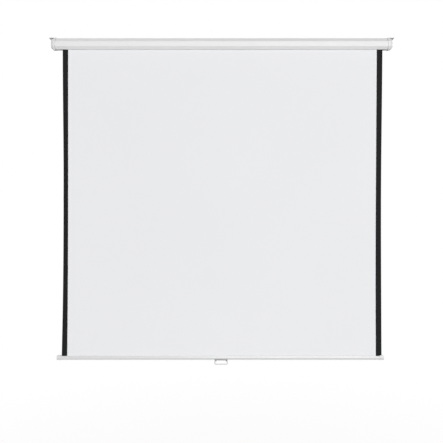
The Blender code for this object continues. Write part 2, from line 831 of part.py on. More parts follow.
def pawl_outline():
    """A pawl at home in its notch, round a pivot at the top: lever, eye and tooth."""
    pivot = Vector((0, PAWL_PIVOT_RADIUS))
    outer_end = math.acos(
        (PAWL_OUTER_RADIUS**2 + PAWL_PIVOT_RADIUS**2 - PAWL_EYE_RADIUS**2)
        / (2 * PAWL_OUTER_RADIUS * PAWL_PIVOT_RADIUS)
    )
    inner_end = math.acos(
        (PAWL_INNER_RADIUS**2 + PAWL_PIVOT_RADIUS**2 - PAWL_EYE_RADIUS**2)
        / (2 * PAWL_INNER_RADIUS * PAWL_PIVOT_RADIUS)
    )
    top = math.pi / 2
    outer = arc((0, 0), PAWL_OUTER_RADIUS, TOOTH_START, top - outer_end, 6)
    inner = arc((0, 0), PAWL_INNER_RADIUS, top - inner_end, TOOTH_END, 5)
    eye_start = outer[-1] - pivot
    eye_end = inner[0] - pivot
    first = math.atan2(eye_start.y, eye_start.x)
    last = math.atan2(eye_end.y, eye_end.x) + 2 * math.pi
    eye = arc(pivot, PAWL_EYE_RADIUS, first, last, 10)[1:-1]
    tip = arc((0, 0), TOOTH_TIP_RADIUS, TOOTH_END, TOOTH_START, 2)
    return outer + eye + inner + tip


def pawl_lift():
    """The turn about a pawl's pivot that takes its tooth from home to just outside the ratchet."""
    arm = Vector((math.cos(TOOTH_END), math.sin(TOOTH_END))) * TOOTH_TIP_RADIUS
    arm.y -= PAWL_PIVOT_RADIUS
    clear = RATCHET_RADIUS + PAWL_LIFT_GAP
    rise = clear**2 - PAWL_PIVOT_RADIUS**2 - arm.length_squared
    return math.asin(rise / (2 * PAWL_PIVOT_RADIUS * arm.length)) - math.atan2(arm.y, arm.x)


def pawl(letter, sign):
    """A pawl lifted just clear of the ratchet. The second one is the first, half a turn on."""
    pivot = Vector((0, PAWL_PIVOT_RADIUS))
    lift = Matrix.Rotation(pawl_lift(), 2)
    outline = [sign * (lift @ (point - pivot)) for point in pawl_outline()]
    hole = circle((0, 0), RIVET_RADIUS + GAP)
    near = PLUG_FACE + 2 * GAP
    obj = prism(f"pawl_{letter}", [outline, hole], -(near + PAWL_THICKNESS), -near, DIE_CAST)
    obj.location.y = ROLLER_Y
    obj.location.z = sign * PAWL_PIVOT_RADIUS
    return obj


def ratchet_wheel():
    """A disc with two notches: each has a square face that stops a tooth and a long ramp."""
    outline = []
    for half_turn in (0, math.pi):
        face = TOOTH_START - TOOTH_PLAY + half_turn
        floor_end = TOOTH_END + TOOTH_PLAY + half_turn
        ramp_end = RAMP_END + half_turn
        next_face = face + math.pi
        outline += arc((0, 0), RATCHET_FLOOR, face, floor_end, 3)
        outline += arc((0, 0), RATCHET_RADIUS, ramp_end, next_face, 14)
    bore = circle((0, 0), SHAFT_RADIUS + GAP, 24)
    near = PLUG_FACE + RUNNING_CLEARANCE
    wheel = prism("ratchet_wheel", [outline, bore], -(near + RATCHET_THICKNESS), -near, DIE_CAST)
    wheel.location.y = ROLLER_Y
    return wheel


def spear():
    """The fixed end of the motor: flat blade, shaft, flange and the seat of the spring."""
    flange = PLUG_FACE - PLUG_WEB - GAP
    seat = flange - SPEAR_FLANGE
    foot = seat - SPRING_SEAT
    blade_start = CASE_HALF - LEFT_BOSS_END - GAP
    bore = ROD_RADIUS + GAP
    profile = [
        (blade_start, 0),
        (blade_start, SHAFT_RADIUS),
        (flange, SHAFT_RADIUS),
        (flange, SPEAR_FLANGE_RADIUS),
        (seat, SPEAR_FLANGE_RADIUS),
        (seat, SPRING_SEAT_RADIUS),
        (foot, SPRING_SEAT_RADIUS),
        (foot, bore),
        (foot + ROD_SOCKET, bore),
        (foot + ROD_SOCKET, 0),
    ]
    obj = turned("spear", to_left(profile), "X", (ROLLER_Y, 0), ZINC_STEEL, 32)
    blade = block(
        "spear_blade",
        (-(blade_start + BLADE_LENGTH), ROLLER_Y - BLADE_WIDTH / 2, -BLADE_HEIGHT / 2),
        (-(blade_start - SHAFT_RADIUS / 2), ROLLER_Y + BLADE_WIDTH / 2, BLADE_HEIGHT / 2),
    )
    join(obj, blade)
    return obj


def spring_seat_end():
    return PLUG_FACE - PLUG_WEB - GAP - SPEAR_FLANGE


def rod_start():
    return spring_seat_end() - SPRING_SEAT + ROD_SOCKET - GAP


def spring_plug_face():
    """The face of the turning plug that the spring ends at, just short of the rod's end."""
    return rod_start() - ROD_LENGTH + SPRING_PLUG_LENGTH / 4


def spring_rod():
    start = rod_start()
    return rod("spring_rod", ROD_RADIUS, -start, -(start - ROD_LENGTH), "X", (ROLLER_Y, 0), ZINC_STEEL, 20)


def spring_plug():
    """Turns with the tube, on the end of the fixed rod, and holds the spring's moving end."""
    face = spring_plug_face()
    bore = ROD_RADIUS + RUNNING_CLEARANCE
    profile = [
        (face + SPRING_SEAT, bore),
        (face + SPRING_SEAT, SPRING_SEAT_RADIUS),
        (face, SPRING_SEAT_RADIUS),
        (face, PLUG_RADIUS),
        (face - SPRING_PLUG_LENGTH, PLUG_RADIUS),
        (face - SPRING_PLUG_LENGTH, bore),
    ]
    return turned("spring_plug", to_left(profile), "X", (ROLLER_Y, 0), NYLON, 32)


def torsion_spring():
    """One wire from the spear's flange to the turning plug, with a straight tail at each end."""
    tail = 2 * SPRING_WIRE_RADIUS
    start = spring_seat_end() - GAP
    end = spring_plug_face() + GAP
    mean = SPRING_SEAT_RADIUS + SPRING_CLEARANCE + SPRING_WIRE_RADIUS
    count = SPRING_CURLS * SPRING_POINTS
    length = start - end - 2 * tail
    points = []
    for index in range(count + 1):
        angle = 2 * math.pi * index / SPRING_POINTS
        along = start - tail - length * index / count
        points.append(Vector((-along, ROLLER_Y + mean * math.cos(angle), mean * math.sin(angle))))
    points.insert(0, points[0] - Vector((tail, 0, 0)))
    points.append(points[-1] + Vector((tail, 0, 0)))
    curve = bpy.data.curves.new("torsion_spring", "CURVE")
    curve.dimensions = "3D"
    curve.bevel_depth = SPRING_WIRE_RADIUS
    curve.bevel_resolution = 1
    curve.use_fill_caps = True
    spline = curve.splines.new("POLY")
    spline.points.add(len(points) - 1)
    for point, place in zip(spline.points, points):
        point.co = (*place, 1)
    obj = add_object("torsion_spring", curve, SPRING_STEEL)
    least = min(
        (points[one] - points[two]).length
        for one in range(len(points))
        for two in range(one + SPRING_POINTS // 2, min(one + 2 * SPRING_POINTS, len(points)))
    )
    print(f"least gap of the spring to itself: {(least - 2 * SPRING_WIRE_RADIUS) * 1000:.2f} mm")
    return obj


def idle_plug():
    profile = plug_profile(GUDGEON_RADIUS + GAP)
    return turned("idle_plug", profile, "X", (ROLLER_Y, 0), DIE_CAST, 40)


def gudgeon():
    start = PLUG_FACE - PLUG_DEPTH
    return rod("gudgeon", GUDGEON_RADIUS, start, start + GUDGEON_LENGTH, "X", (ROLLER_Y, 0), ZINC_STEEL, 24)


def cloth(name, across, rows, finish):
    """A hanging strip. across gives its (x, y) points from one edge to the other at a height share."""
    bm = bmesh.new()
    grid = []
    for row in range(rows + 1):
        share = row / rows
        line = [bm.verts.new((x, y, share * SHEET_FOOT)) for x, y in across(share)]
        grid.append(line)
    for upper, lower in zip(grid, grid[1:]):
        for index in range(len(upper) - 1):
            bm.faces.new((upper[index], upper[index + 1], lower[index + 1], lower[index]))
    bm.normal_update()
    strip = mesh_object(name, bm, finish)
    thick = strip.modifiers.new("Thickness", "SOLIDIFY")
    thick.thickness = SHEET_THICKNESS
    thick.offset = 0
    thick.use_even_offset = True
    return strip


def screen_sheet():
    half = WHITE_WIDTH / 2 - GAP / 2
    return cloth("screen_sheet", lambda share: [(-half, SHEET_Y), (half, SHEET_Y)], 1, MATT_WHITE)


def black_border(name, side, curl):
    """A border that lies flat in the case and in the bar, and turns back in an arc between them."""
    inner = WHITE_WIDTH / 2 + GAP / 2
    width = BORDER_WIDTH - GAP / 2
    columns = 5

    def across(share):
        angle = curl * math.sin(math.pi * share) ** 2
        line = []
        for column in range(columns + 1):
            reach = width * column / columns
            turn = angle * column / columns
            if turn < 1e-6:
                out, back = reach, 0
            else:
                out = reach * math.sin(turn) / turn
                back = reach * (1 - math.cos(turn)) / turn
            line.append((side * (inner + out), SHEET_Y + back))
        return line

    return cloth(name, across, 16, BLACK_VINYL)


def bar_outline():
    """The bar's six corners as (y, z), anticlockwise, about the sheet's middle."""
    middle = BAR_TOP - BAR_HEIGHT / 2
    corners = [
        (BAR_TOP_WIDTH / 2, BAR_TOP), (-BAR_TOP_WIDTH / 2, BAR_TOP),
        (-BAR_DEPTH / 2, middle), (-BAR_FOOT_WIDTH / 2, BAR_FOOT),
        (BAR_FOOT_WIDTH / 2, BAR_FOOT), (BAR_DEPTH / 2, middle),
    ]
    return [Vector((SHEET_Y + y, z)) for y, z in corners]


def with_mouth(corners, mouth_points):
    """The rounded outline with its flat top opened by a groove, listed right to left."""
    outline = rounded(corners, BAR_CORNER, 2)
    return [*outline[:3], *mouth_points, *outline[3:]]


def groove_points():
    """The keyhole groove that the rod in the hem slides into."""
    centre = Vector((SHEET_Y, BAR_TOP - KEDER_DROP))
    radius = KEDER_RADIUS + KEDER_CLEARANCE
    half_mouth = BAR_MOUTH / 2
    neck = math.asin(half_mouth / radius)
    start = math.pi / 2 - neck
    end = start - 2 * math.pi + 2 * neck
    right = Vector((SHEET_Y + half_mouth, BAR_TOP))
    left = Vector((SHEET_Y - half_mouth, BAR_TOP))
    return [right, *arc(centre, radius, start, end, 14), left]


def bar_hollow(shrink=0.0):
    """The chamber below the groove, one wall inside the bar, or the plug that fits in it."""
    inside = offset_outline(bar_outline(), -(BAR_WALL + shrink))
    groove_foot = BAR_TOP - KEDER_DROP - KEDER_RADIUS - KEDER_CLEARANCE
    top = groove_foot - BAR_WALL - shrink
    right_top, left_top, left_middle, left_foot, right_foot, right_middle = inside
    if top > left_middle.y:
        share = (top - left_middle.y) / (left_top.y - left_middle.y)
        left = left_middle.lerp(left_top, share)
        right = right_middle.lerp(right_top, share)
        return [right, left, left_middle, left_foot, right_foot, right_middle]
    share = (top - left_foot.y) / (left_middle.y - left_foot.y)
    left = left_foot.lerp(left_middle, share)
    right = right_foot.lerp(right_middle, share)
    return [right, left, left_foot, right_foot]


def bottom_bar():
    outline = with_mouth(bar_outline(), groove_points())
    bar = prism("bottom_bar", [outline, bar_hollow()], BAR_LEFT, BAR_RIGHT, BAR_ALUMINIUM)
    for sign in (-1, 1):
        hole = rod(
            f"cut_bar_{sign}", SCREW_RADIUS + SCREW_CLEARANCE, BAR_FOOT - BAR_WALL,
            BAR_FOOT + 2 * BAR_WALL, "Z", (HANDLE_X + sign * SADDLE_SCREW_X, SHEET_Y), steps=12,
        )
        cut(bar, hole)
    return bar


def fallen_away(radius, inset):
    """How far a quarter-round edge has fallen away at a distance in from where it ends."""
    if inset >= radius:
        return 0
    return radius - math.sqrt(radius**2 - (radius - inset) ** 2)


def bar_cap(name, side):
    """A moulded cap with a slit for the sheet, a rounded end and a plug in the bar's chamber."""
    bar_end = BAR_LEFT if side < 0 else BAR_RIGHT
    start = GAP
    end = start + BAR_CAP_LENGTH
    rings = []
    for inset in (end - start, *(BAR_CAP_SHOULDER * share for share in (1, 0.7, 0.42, 0.2, 0.08, 0))):
        drawn = BAR_CAP_PROUD - fallen_away(BAR_CAP_EDGE, inset)
        corners = offset_outline(bar_outline(), drawn)
        for corner in corners[:2]:
            corner.y -= fallen_away(BAR_CAP_SHOULDER, inset)
        x = bar_end + side * (end - inset)
        rings.append((x, rounded(corners, BAR_CORNER + BAR_CAP_PROUD, 2)))
    bm = bmesh.new()
    loops = loft(bm, rings)
    bm.faces.new(loops[0])
    bm.faces.new(loops[-1])
    bmesh.ops.recalc_face_normals(bm, faces=bm.faces)
    cap = realised(mesh_object(name, bm))
    cap.data.materials.append(WHITE_PLASTIC)

    def span(one, two):
        return sorted((bar_end + side * one, bar_end + side * two))

    near, far = span(start - GAP, end - BAR_CAP_END)
    half_mouth = BAR_MOUTH / 2
    slit = block(
        f"cut_{name}_slit",
        (near, SHEET_Y - half_mouth, SHEET_FOOT - 2 * GAP),
        (far, SHEET_Y + half_mouth, BAR_TOP + 2 * BAR_CAP_PROUD),
    )
    cut(cap, slit)
    plug = prism(f"{name}_plug", [bar_hollow(GAP)], *span(start - BAR_PLUG_LENGTH, start + BAR_CAP_END))
    join(cap, plug)
    return cap


def hem_rod():
    centre = (SHEET_Y, BAR_TOP - KEDER_DROP)
    low, high = BAR_LEFT + KEDER_INSET, BAR_RIGHT - KEDER_INSET
    return rod("hem_rod", KEDER_RADIUS, low, high, "X", centre, NYLON, 16)


def saddle_outline():
    """The saddle's section as (y, z): a plate under the bar, its front edge turned up before it."""
    plate_top = SADDLE_FOOT + SADDLE_THICKNESS
    top = SADDLE_FOOT + SADDLE_RISE
    back = SHEET_Y + BAR_FOOT_WIDTH / 2
    spread = (BAR_DEPTH - BAR_FOOT_WIDTH) * (top - BAR_FOOT) / BAR_HEIGHT
    inner = SHEET_Y - BAR_FOOT_WIDTH / 2 - spread - GAP
    outer = inner - SADDLE_WALL
    centre = (outer + SADDLE_WALL, SADDLE_FOOT + SADDLE_WALL)
    bend = arc(centre, SADDLE_WALL, math.pi, 1.5 * math.pi, 3)
    corners = [(back, SADDLE_FOOT), (back, plate_top), (inner, plate_top), (inner, top), (outer, top)]
    return bend + [Vector(corner) for corner in corners]


def handle_saddle():
    """A pressed plate as long as the handle is wide, with two knuckles for the handle's pivots."""
    half = HANDLE_WIDTH / 2 - 2 * WIRE_RADIUS - PIVOT_BEND + WIRE_RADIUS
    plate = HANDLE_WIDTH / 2 - SADDLE_INSET
    saddle = prism(
        "handle_saddle", [saddle_outline()], HANDLE_X - plate, HANDLE_X + plate, GREY_PAINT
    )
    for sign in (-1, 1):
        screw_hole = rod(
            f"cut_saddle_{sign}", SCREW_RADIUS + SCREW_CLEARANCE,
            SADDLE_FOOT - SADDLE_THICKNESS, SADDLE_FOOT + 2 * SADDLE_THICKNESS,
            "Z", (HANDLE_X + sign * SADDLE_SCREW_X, SHEET_Y), steps=12,
        )
        cut(saddle, screw_hole)
    inner = WIRE_RADIUS + RUNNING_CLEARANCE
    outer = inner + KNUCKLE_WALL
    for sign in (-1, 1):
        one = HANDLE_X + sign * half
        two = one - sign * KNUCKLE_LENGTH
        profile = [(one, inner), (one, outer), (two, outer), (two, inner)]
        join(saddle, turned(f"saddle_knuckle_{sign}", profile, "X", (SHEET_Y, PIVOT_Z), steps=20))
    return saddle


def pull_handle():
    """A bail: one wire whose ends turn in to form the pivots."""
    half = HANDLE_WIDTH / 2 - WIRE_RADIUS
    foot = -(HANDLE_DROP - WIRE_RADIUS)
    right = [(half - PIVOT_LENGTH, 0), (half, 0), (half, foot)]
    left = [(-x, z) for x, z in reversed(right)]
    path = right + left
    upper = rounded(path[:3], PIVOT_BEND, 4, False)[:-1]
    lower = rounded([path[1], path[2], path[3], path[4]], HANDLE_CORNER, 5, False)[1:-1]
    far = rounded(path[3:], PIVOT_BEND, 4, False)[1:]
    curve = bpy.data.curves.new("pull_handle", "CURVE")
    curve.dimensions = "3D"
    curve.bevel_depth = WIRE_RADIUS
    curve.bevel_resolution = 3
    curve.use_fill_caps = True
    points = upper + lower + far
    spline = curve.splines.new("POLY")
    spline.points.add(len(points) - 1)
    for point, place in zip(spline.points, points):
        point.co = (place.x, 0, place.y, 1)
    handle = add_object("pull_handle", curve, COATED_WIRE)
    handle.location = (HANDLE_X, SHEET_Y, PIVOT_Z)
    return handle


def build_case():
    case_shell()
    left = end_cap("end_cap_left", -1)
    cap_boss(left, -1, BOSS_RADIUS, LEFT_BOSS_END, spear_socket())
    right = end_cap("end_cap_right", 1)
    cap_boss(right, 1, IDLE_BOSS_RADIUS, RIGHT_BOSS_END, gudgeon_socket())
    for side_name, side in (("left", -1), ("right", 1)):
        mounting_bracket(f"mounting_bracket_{side_name}", side)
        bracket_screws(side_name, side)
        for name, depth in zip(("rear", "front"), SCREW_DEPTHS):
            place = (side * cap_screw_x(), -depth)
            pan_head_screw(f"cap_screw_{side_name}_{name}", CASE_TOP, CAP_SCREW_LENGTH, place, -1)


def build_motor():
    ratchet_wheel()
    spear()
    spring_rod()
    torsion_spring()


def build_roller():
    axis = axis_empty("roller_axis", (0, ROLLER_Y, 0))
    carry(
        axis, roller_tube(), sheet_wraps(), ratchet_ferrule(), spring_plug(), idle_plug(), gudgeon(),
        pawl_rivet("a", 1), pawl_rivet("b", -1),
    )
    for letter, sign in (("a", 1), ("b", -1)):
        pivot = axis_empty(f"pawl_{letter}_axis", (0, ROLLER_Y, sign * PAWL_PIVOT_RADIUS))
        carry(pivot, pawl(letter, sign))
        carry(axis, pivot)


def build_sheet():
    screen_sheet()
    black_border("black_border_left", -1, CURL_LEFT)
    black_border("black_border_right", 1, CURL_RIGHT)


def build_bar():
    frame = axis_empty("bar_frame", (0, SHEET_Y, BAR_TOP))
    screws = [
        pan_head_screw(
            f"saddle_screw_{name}", SADDLE_FOOT, SADDLE_SCREW_LENGTH,
            (HANDLE_X + sign * SADDLE_SCREW_X, SHEET_Y), 1,
        )
        for name, sign in (("left", -1), ("right", 1))
    ]
    carry(
        frame, bottom_bar(), bar_cap("bar_cap_left", -1), bar_cap("bar_cap_right", 1),
        hem_rod(), handle_saddle(), *screws,
    )
    pivot = axis_empty("handle_axis", (HANDLE_X, SHEET_Y, PIVOT_Z))
    carry(pivot, pull_handle())
    carry(frame, pivot)


build_case()
build_motor()
build_roller()
build_sheet()
build_bar()
print(f"travel {TRAVEL:.6f} m, {1 / ROLL_RADIUS:.6f} rad a metre")
print(f"pawls lifted {math.degrees(pawl_lift()):.3f} degrees")
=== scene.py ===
"""Pull-down wall projector screen: dressed pieces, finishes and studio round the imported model."""

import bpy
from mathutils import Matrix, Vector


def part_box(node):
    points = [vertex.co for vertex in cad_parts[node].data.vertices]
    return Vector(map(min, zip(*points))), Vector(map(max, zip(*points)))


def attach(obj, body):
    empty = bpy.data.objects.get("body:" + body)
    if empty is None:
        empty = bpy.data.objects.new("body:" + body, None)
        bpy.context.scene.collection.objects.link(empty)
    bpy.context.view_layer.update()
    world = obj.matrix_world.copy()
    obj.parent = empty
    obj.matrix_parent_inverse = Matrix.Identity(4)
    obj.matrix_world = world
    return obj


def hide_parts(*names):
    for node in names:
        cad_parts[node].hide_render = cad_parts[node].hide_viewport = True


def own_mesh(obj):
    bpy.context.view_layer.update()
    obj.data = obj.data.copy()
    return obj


bl_info = {
    "name": "Pull-down Projector Screen",
    "version": (1, 0, 0),
    "blender": (4, 5, 0),
    "location": "View3D > Sidebar > Projector Screen",
    "description": "Models a spring-roller projector screen with its case, cloth, bar and handle",
    "category": "Object",
}

import math

import bmesh
import bpy
from bpy.props import FloatProperty, FloatVectorProperty, PointerProperty
from mathutils import Vector

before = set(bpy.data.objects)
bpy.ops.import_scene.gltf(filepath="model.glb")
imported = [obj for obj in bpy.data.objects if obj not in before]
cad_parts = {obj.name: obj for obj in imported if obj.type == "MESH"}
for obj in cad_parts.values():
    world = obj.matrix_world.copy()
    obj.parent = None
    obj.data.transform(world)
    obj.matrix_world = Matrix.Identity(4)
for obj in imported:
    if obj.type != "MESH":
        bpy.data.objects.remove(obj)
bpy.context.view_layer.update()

CASE_LOW, CASE_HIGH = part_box("case_shell")
CAP_LOW, CAP_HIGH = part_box("end_cap_right")
SHEET_LOW, SHEET_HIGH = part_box("screen_sheet")
BORDER_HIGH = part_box("black_border_right")[1]
BAR_LOW, BAR_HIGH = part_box("bottom_bar")
WRAPS_LOW, WRAPS_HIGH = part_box("sheet_wraps")
SADDLE_LOW, SADDLE_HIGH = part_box("handle_saddle")
HANDLE_LOW, HANDLE_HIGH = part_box("pull_handle")
BRACKET_LOW, BRACKET_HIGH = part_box("mounting_bracket_right")

SHEET_Y = (SHEET_LOW.y + SHEET_HIGH.y) / 2
ROLLER_Y = (WRAPS_LOW.y + WRAPS_HIGH.y) / 2
CASE_CORNERS = [  # (y, z), from the wall over the top, down the front and back under
    (0.0, 0.030), (-0.04375, 0.030), (-0.06445, 0.0093), (-0.06445, -0.01475),
    (-0.0537, -0.0293), (-0.044, -0.0295), (-0.040, -0.0295), (0.0, -0.016),
]
HANDLE_X = (HANDLE_LOW.x + HANDLE_HIGH.x) / 2
SADDLE_FOOT = SADDLE_HIGH.z - 0.0062    # the underside of the saddle's plate
SIDES = (("left", -1), ("right", 1))

SLANTED_FACES = (1, 3, 6)       # the corners from which the case's slanted faces run
LIP_RETURN = 0.003              # the upturned edge of the case's front lip
HEEL_RETURN = 0.004             # and of its back lip
CAP_GAP = 0.0003                # between a cap and the case or bar that it closes
CAP_BACK = -0.0023              # the backs of the end caps
CAP_WALL = 0.002
BROW_Z, CHIN_Z = 0.00971, -0.01492  # where the hips meet the end caps' fronts
SCREW_DEPTHS = (0.014, 0.038)   # from the wall
CAP_SCREW_X = 0.799
BRACKET_SCREW_X = 0.8113
SADDLE_SCREW_X = 0.012          # from the handle's middle
HEAD_RADIUS = 0.003
SHANK_LENGTH = 0.008
CROSS_REACH, CROSS_HALF = 0.0016, 0.00035
BRACKET_PLATE = 0.002
FIXING_RADIUS, FIXING_LENGTH, FIXING_Z = 0.00275, 0.011, 0.008
SINK_RADIUS, SINK_DEPTH = 0.0033, 0.0016
CLOTH_WIDTH = 1.5
SEAM_GAP = 0.00015              # from the sheet's edge in the CAD to the middle of its seam
CALM_SHARE, FLAT_SHARE = 0.87, 0.88  # of the drop, where the waves and the right curl end
THREAD_PITCH = 0.0008
WOUND_RADIUS = 0.0203           # of the wound cloth's inner face
WOUND_TURNS = 1.9
BAR_TOP_HALF, BAR_FOOT_HALF = 0.0036, 0.0033
BAR_TOP_CUT = 0.003             # from the bar's top in the CAD down to the extrusion's
SLIT_HALF, SLIT_DEPTH = 0.00075, 0.0055
BAR_CAP_LENGTH, BAR_CAP_PROUD, BAR_CAP_SHOULDER = 0.020, 0.0005, 0.006
BEND_RADIUS, CORNER_RADIUS = 0.0032, 0.006  # of the handle's wire, at its pivots and corners
PIVOT_LENGTH = 0.0082           # of the wire's ends, with their bends
KNUCKLE_GAP, KNUCKLE_WALL, KNUCKLE_LENGTH = 0.0002, 0.0008, 0.0035
NEAR = 1e-5                     # how closely two places along an axis agree


def number(name, description, default, low, high, **kind):
    return FloatProperty(
        name=name, description=description, default=default, min=low, max=high, **kind
    )


def metres(*facts):
    return number(*facts, precision=4, unit="LENGTH")


def tint(name, description, default):
    return FloatVectorProperty(
        name=name, description=description, default=default, size=3, min=0, max=1,
        subtype="COLOR",
    )


class ScreenSizes(bpy.types.PropertyGroup):
    """Sizes of the dressed pieces."""

    case_wall: metres("Case wall", "Thickness of the folded steel sheet", 0.0012, 0.0005, 0.002)
    fold_radius: metres("Fold radius", "Outer radius of the case's folds", 0.0025, 0.0013, 0.005)
    cap_corner: metres(
        "Cap corner", "Round of the end caps' corners and hips", 0.0015, 0.0005, 0.0025,
    )
    edge_round: metres(
        "Edge round", "Small round that breaks every sharp edge of the hardware",
        0.0003, 0.0001, 0.0008,
    )
    cloth_thickness: metres(
        "Cloth thickness", "Thickness of the projection cloth and of its borders",
        0.0005, 0.0002, 0.001,
    )
    cloth_wave: metres(
        "Cloth wave", "Depth of the slow waves in the hanging cloth", 0.0016, 0.0, 0.004,
    )
    skew_top: metres(
        "Shift at the roller", "How far the cloth leaves the roller to the right",
        0.0036, -0.01, 0.01,
    )
    skew_foot: metres(
        "Shift at the bar", "How far the cloth's foot hangs to the left", -0.001, -0.01, 0.01,
    )
    curl_left: number(
        "Left curl", "How far the left border turns back at half height",
        math.radians(38), 0.0, math.radians(80), subtype="ANGLE",
    )
    curl_right: number(
        "Right curl", "How far the right border turns back at half height",
        math.radians(24), 0.0, math.radians(80), subtype="ANGLE",
    )
    seam_draw: metres(
        "Draw at the seams", "How far each seam is drawn in below half height", 0.0028, 0.0, 0.006,
    )
    overlap: metres(
        "Border overlap", "How far the black coat runs over the white and round the edge",
        0.0008, 0.0, 0.002,
    )
    right_spare: metres(
        "Right border's spare", "How much wider than the left one the right border is cut",
        0.0013, 0.0, 0.004,
    )
    end_gap: metres(
        "Gap at the end caps", "How far the folded case stops short of each end cap's land",
        0.0008, 0.0, 0.002,
    )
    wire_radius: metres("Wire radius", "Radius of the pull handle's wire", 0.0022, 0.001, 0.003)


class ScreenColours(bpy.types.PropertyGroup):
    """Colours of the finishes."""

    paint: tint("Case paint", "White powder coat on the case", (0.80, 0.80, 0.80))
    plastic: tint("Plastic", "White moulded caps", (0.80, 0.80, 0.80))
    cloth: tint("Projection cloth", "Matt white front of the sheet", (0.855, 0.86, 0.88))
    border: tint(
        "Black border", "Matt black borders and back of the sheet", (0.0060, 0.0063, 0.0069),
    )
    bar: tint(
        "Bottom bar", "White coat on the extruded bar and the tone of its caps",
        (0.71, 0.71, 0.715),
    )
    wire: tint("Handle wire", "Pale grey coat on the handle's wire", (0.66, 0.66, 0.67))
    # The saddle is a real part, but its dark grey is chosen so that its front flange paints the
    # shade line under the bar's foot.
    saddle: tint("Handle saddle", "Grey coat on the saddle under the bar", (0.30, 0.30, 0.305))
    zinc: tint("Zinc plate", "Brackets, screws and roller tube", (0.60, 0.61, 0.62))


class StudioSettings(bpy.types.PropertyGroup):
    """Light, floor and camera."""

    sky: number("Sky", "Strength of the even light from all round", 0.20, 0.0, 2.0)
    front_power: number(
        "Front lamp", "Power of the large soft lamp in front", 2270.0, 0.0, 5000.0, unit="POWER",
    )
    top_power: number("Top lamp", "Power of the soft lamp above", 4.0, 0.0, 1000.0, unit="POWER")
    back_power: number(
        "Back lamp", "Power of the soft lamp behind and above, for views from there",
        260.0, 0.0, 2000.0, unit="POWER",
    )
    floor_z: number(
        "Floor height", "Height of the floor under the hanging screen",
        -2.35, -4.0, -1.7, unit="LENGTH",
    )
    lens: number(
        "Lens", "Focal length of the camera on a 36 mm sensor, in millimetres", 46.85, 20.0, 120.0,
    )


def deselect():
    """Leaves edit mode and selects nothing."""
    if bpy.context.object and bpy.context.object.mode != "OBJECT":
        bpy.ops.object.mode_set(mode="OBJECT")
    bpy.ops.object.select_all(action="DESELECT")


def choose(obj):
    """Selects one object and makes it the active one."""
    deselect()
    obj.select_set(True)
    bpy.context.view_layer.objects.active = obj


def discard(*objs):
    """Deletes what only served to make other pieces."""
    deselect()
    for obj in objs:
        obj.select_set(True)
    bpy.ops.object.delete()


def named(name):
    """The object just added, named, with its place moved into its mesh."""
    obj = bpy.context.object
    obj.name = obj.data.name = name
    bpy.ops.object.transform_apply(location=True, rotation=True, scale=True)
    return obj


def add_box(name, low, high):
    """A cube primitive that fills the space between two corners."""
    deselect()
    low, high = Vector(low), Vector(high)
    bpy.ops.mesh.primitive_cube_add(size=1, location=(low + high) / 2, scale=high - low)
    return named(name)


def add_round(name, radius, start, end, turn=(0, 0, 0), sides=32):
    """A cylinder primitive between two points along one of the three axes."""
    deselect()
    start, end = Vector(start), Vector(end)
    bpy.ops.mesh.primitive_cylinder_add(
        vertices=sides, radius=radius, depth=(end - start).length,
        location=(start + end) / 2, rotation=turn,
    )
    return named(name)


def add_ring(name, sides, radius, centre, fill="NOTHING"):
    """A circle primitive that faces along X."""
    deselect()
    bpy.ops.mesh.primitive_circle_add(
        vertices=sides, radius=radius, fill_type=fill, location=centre,
        rotation=(0, math.pi / 2, 0),
    )
    return named(name)


def add_sheet_grid(name, columns, rows, place):
    """A grid primitive whose points go where place(u, v) says, u and v from 0 to 1."""
    deselect()
    bpy.ops.mesh.primitive_grid_add(
        x_subdivisions=columns, y_subdivisions=rows, size=1, location=(0.5, 0.5, 0)
    )
    sheet = named(name)
    for vert in sheet.data.vertices:
        vert.co = place(vert.co.x, vert.co.y)
    return sheet


MIDDLES = {
    "FACE": lambda face: face.calc_center_median(),
    "EDGE": lambda edge: (edge.verts[0].co + edge.verts[1].co) / 2,
    "VERT": lambda vert: vert.co,
}


def pick(obj, kind, test):
    """Selects, in edit mode, the faces, edges or points that pass a test."""
    choose(obj)
    bpy.ops.object.mode_set(mode="EDIT")
    bpy.ops.mesh.select_mode(type=kind)
    bpy.ops.mesh.select_all(action="DESELECT")
    bm = bmesh.from_edit_mesh(obj.data)
    bm.normal_update()
    elements = {"FACE": bm.faces, "EDGE": bm.edges, "VERT": bm.verts}[kind]
    picked = [element for element in elements if test(element, MIDDLES[kind](element))]
    if not picked:
        raise RuntimeError(f"{obj.name}: nothing to select")
    for element in picked:
        element.select = True
    bm.select_flush_mode()
    bmesh.update_edit_mesh(obj.data)


def pick_all(obj, kind="FACE"):
    pick(obj, kind, lambda element, middle: True)


def looks_up(face, middle):
    return face.normal.z > 0.9


def looks_down(face, middle):
    return face.normal.z < -0.9


def extrude(*steps):
    """Extrudes the selected faces or edges by each step in turn."""
    for step in steps:
        bpy.ops.mesh.extrude_region_move(TRANSFORM_OT_translate={"value": step})


def soften(obj, width, test, segments=3):
    """Rounds the chosen edges."""
    pick(obj, "EDGE", test)
    bpy.ops.mesh.bevel(
        offset=width, offset_type="OFFSET", segments=segments, profile=0.5, affect="EDGES"
    )


def break_edges(obj, width, degrees=60):
    """Takes the sharpness off every edge that turns by more than an angle."""
    soften(obj, width, lambda edge, middle: sharp(edge, degrees), 2)


def taper(share, centre=(0, 0, 0)):
    """Draws what is selected in towards an upright axis."""
    bpy.ops.transform.resize(value=(share, share, 1), center_override=centre)


def slice_off(obj, through, facing):
    """Cuts away what lies beyond a plane and closes the cut with a face."""
    pick_all(obj)
    bpy.ops.mesh.bisect(plane_co=through, plane_no=facing, use_fill=True, clear_outer=True)


def split_at(obj, through, facing):
    """Draws an edge loop where a plane crosses the piece."""
    pick_all(obj)
    bpy.ops.mesh.bisect(plane_co=through, plane_no=facing)


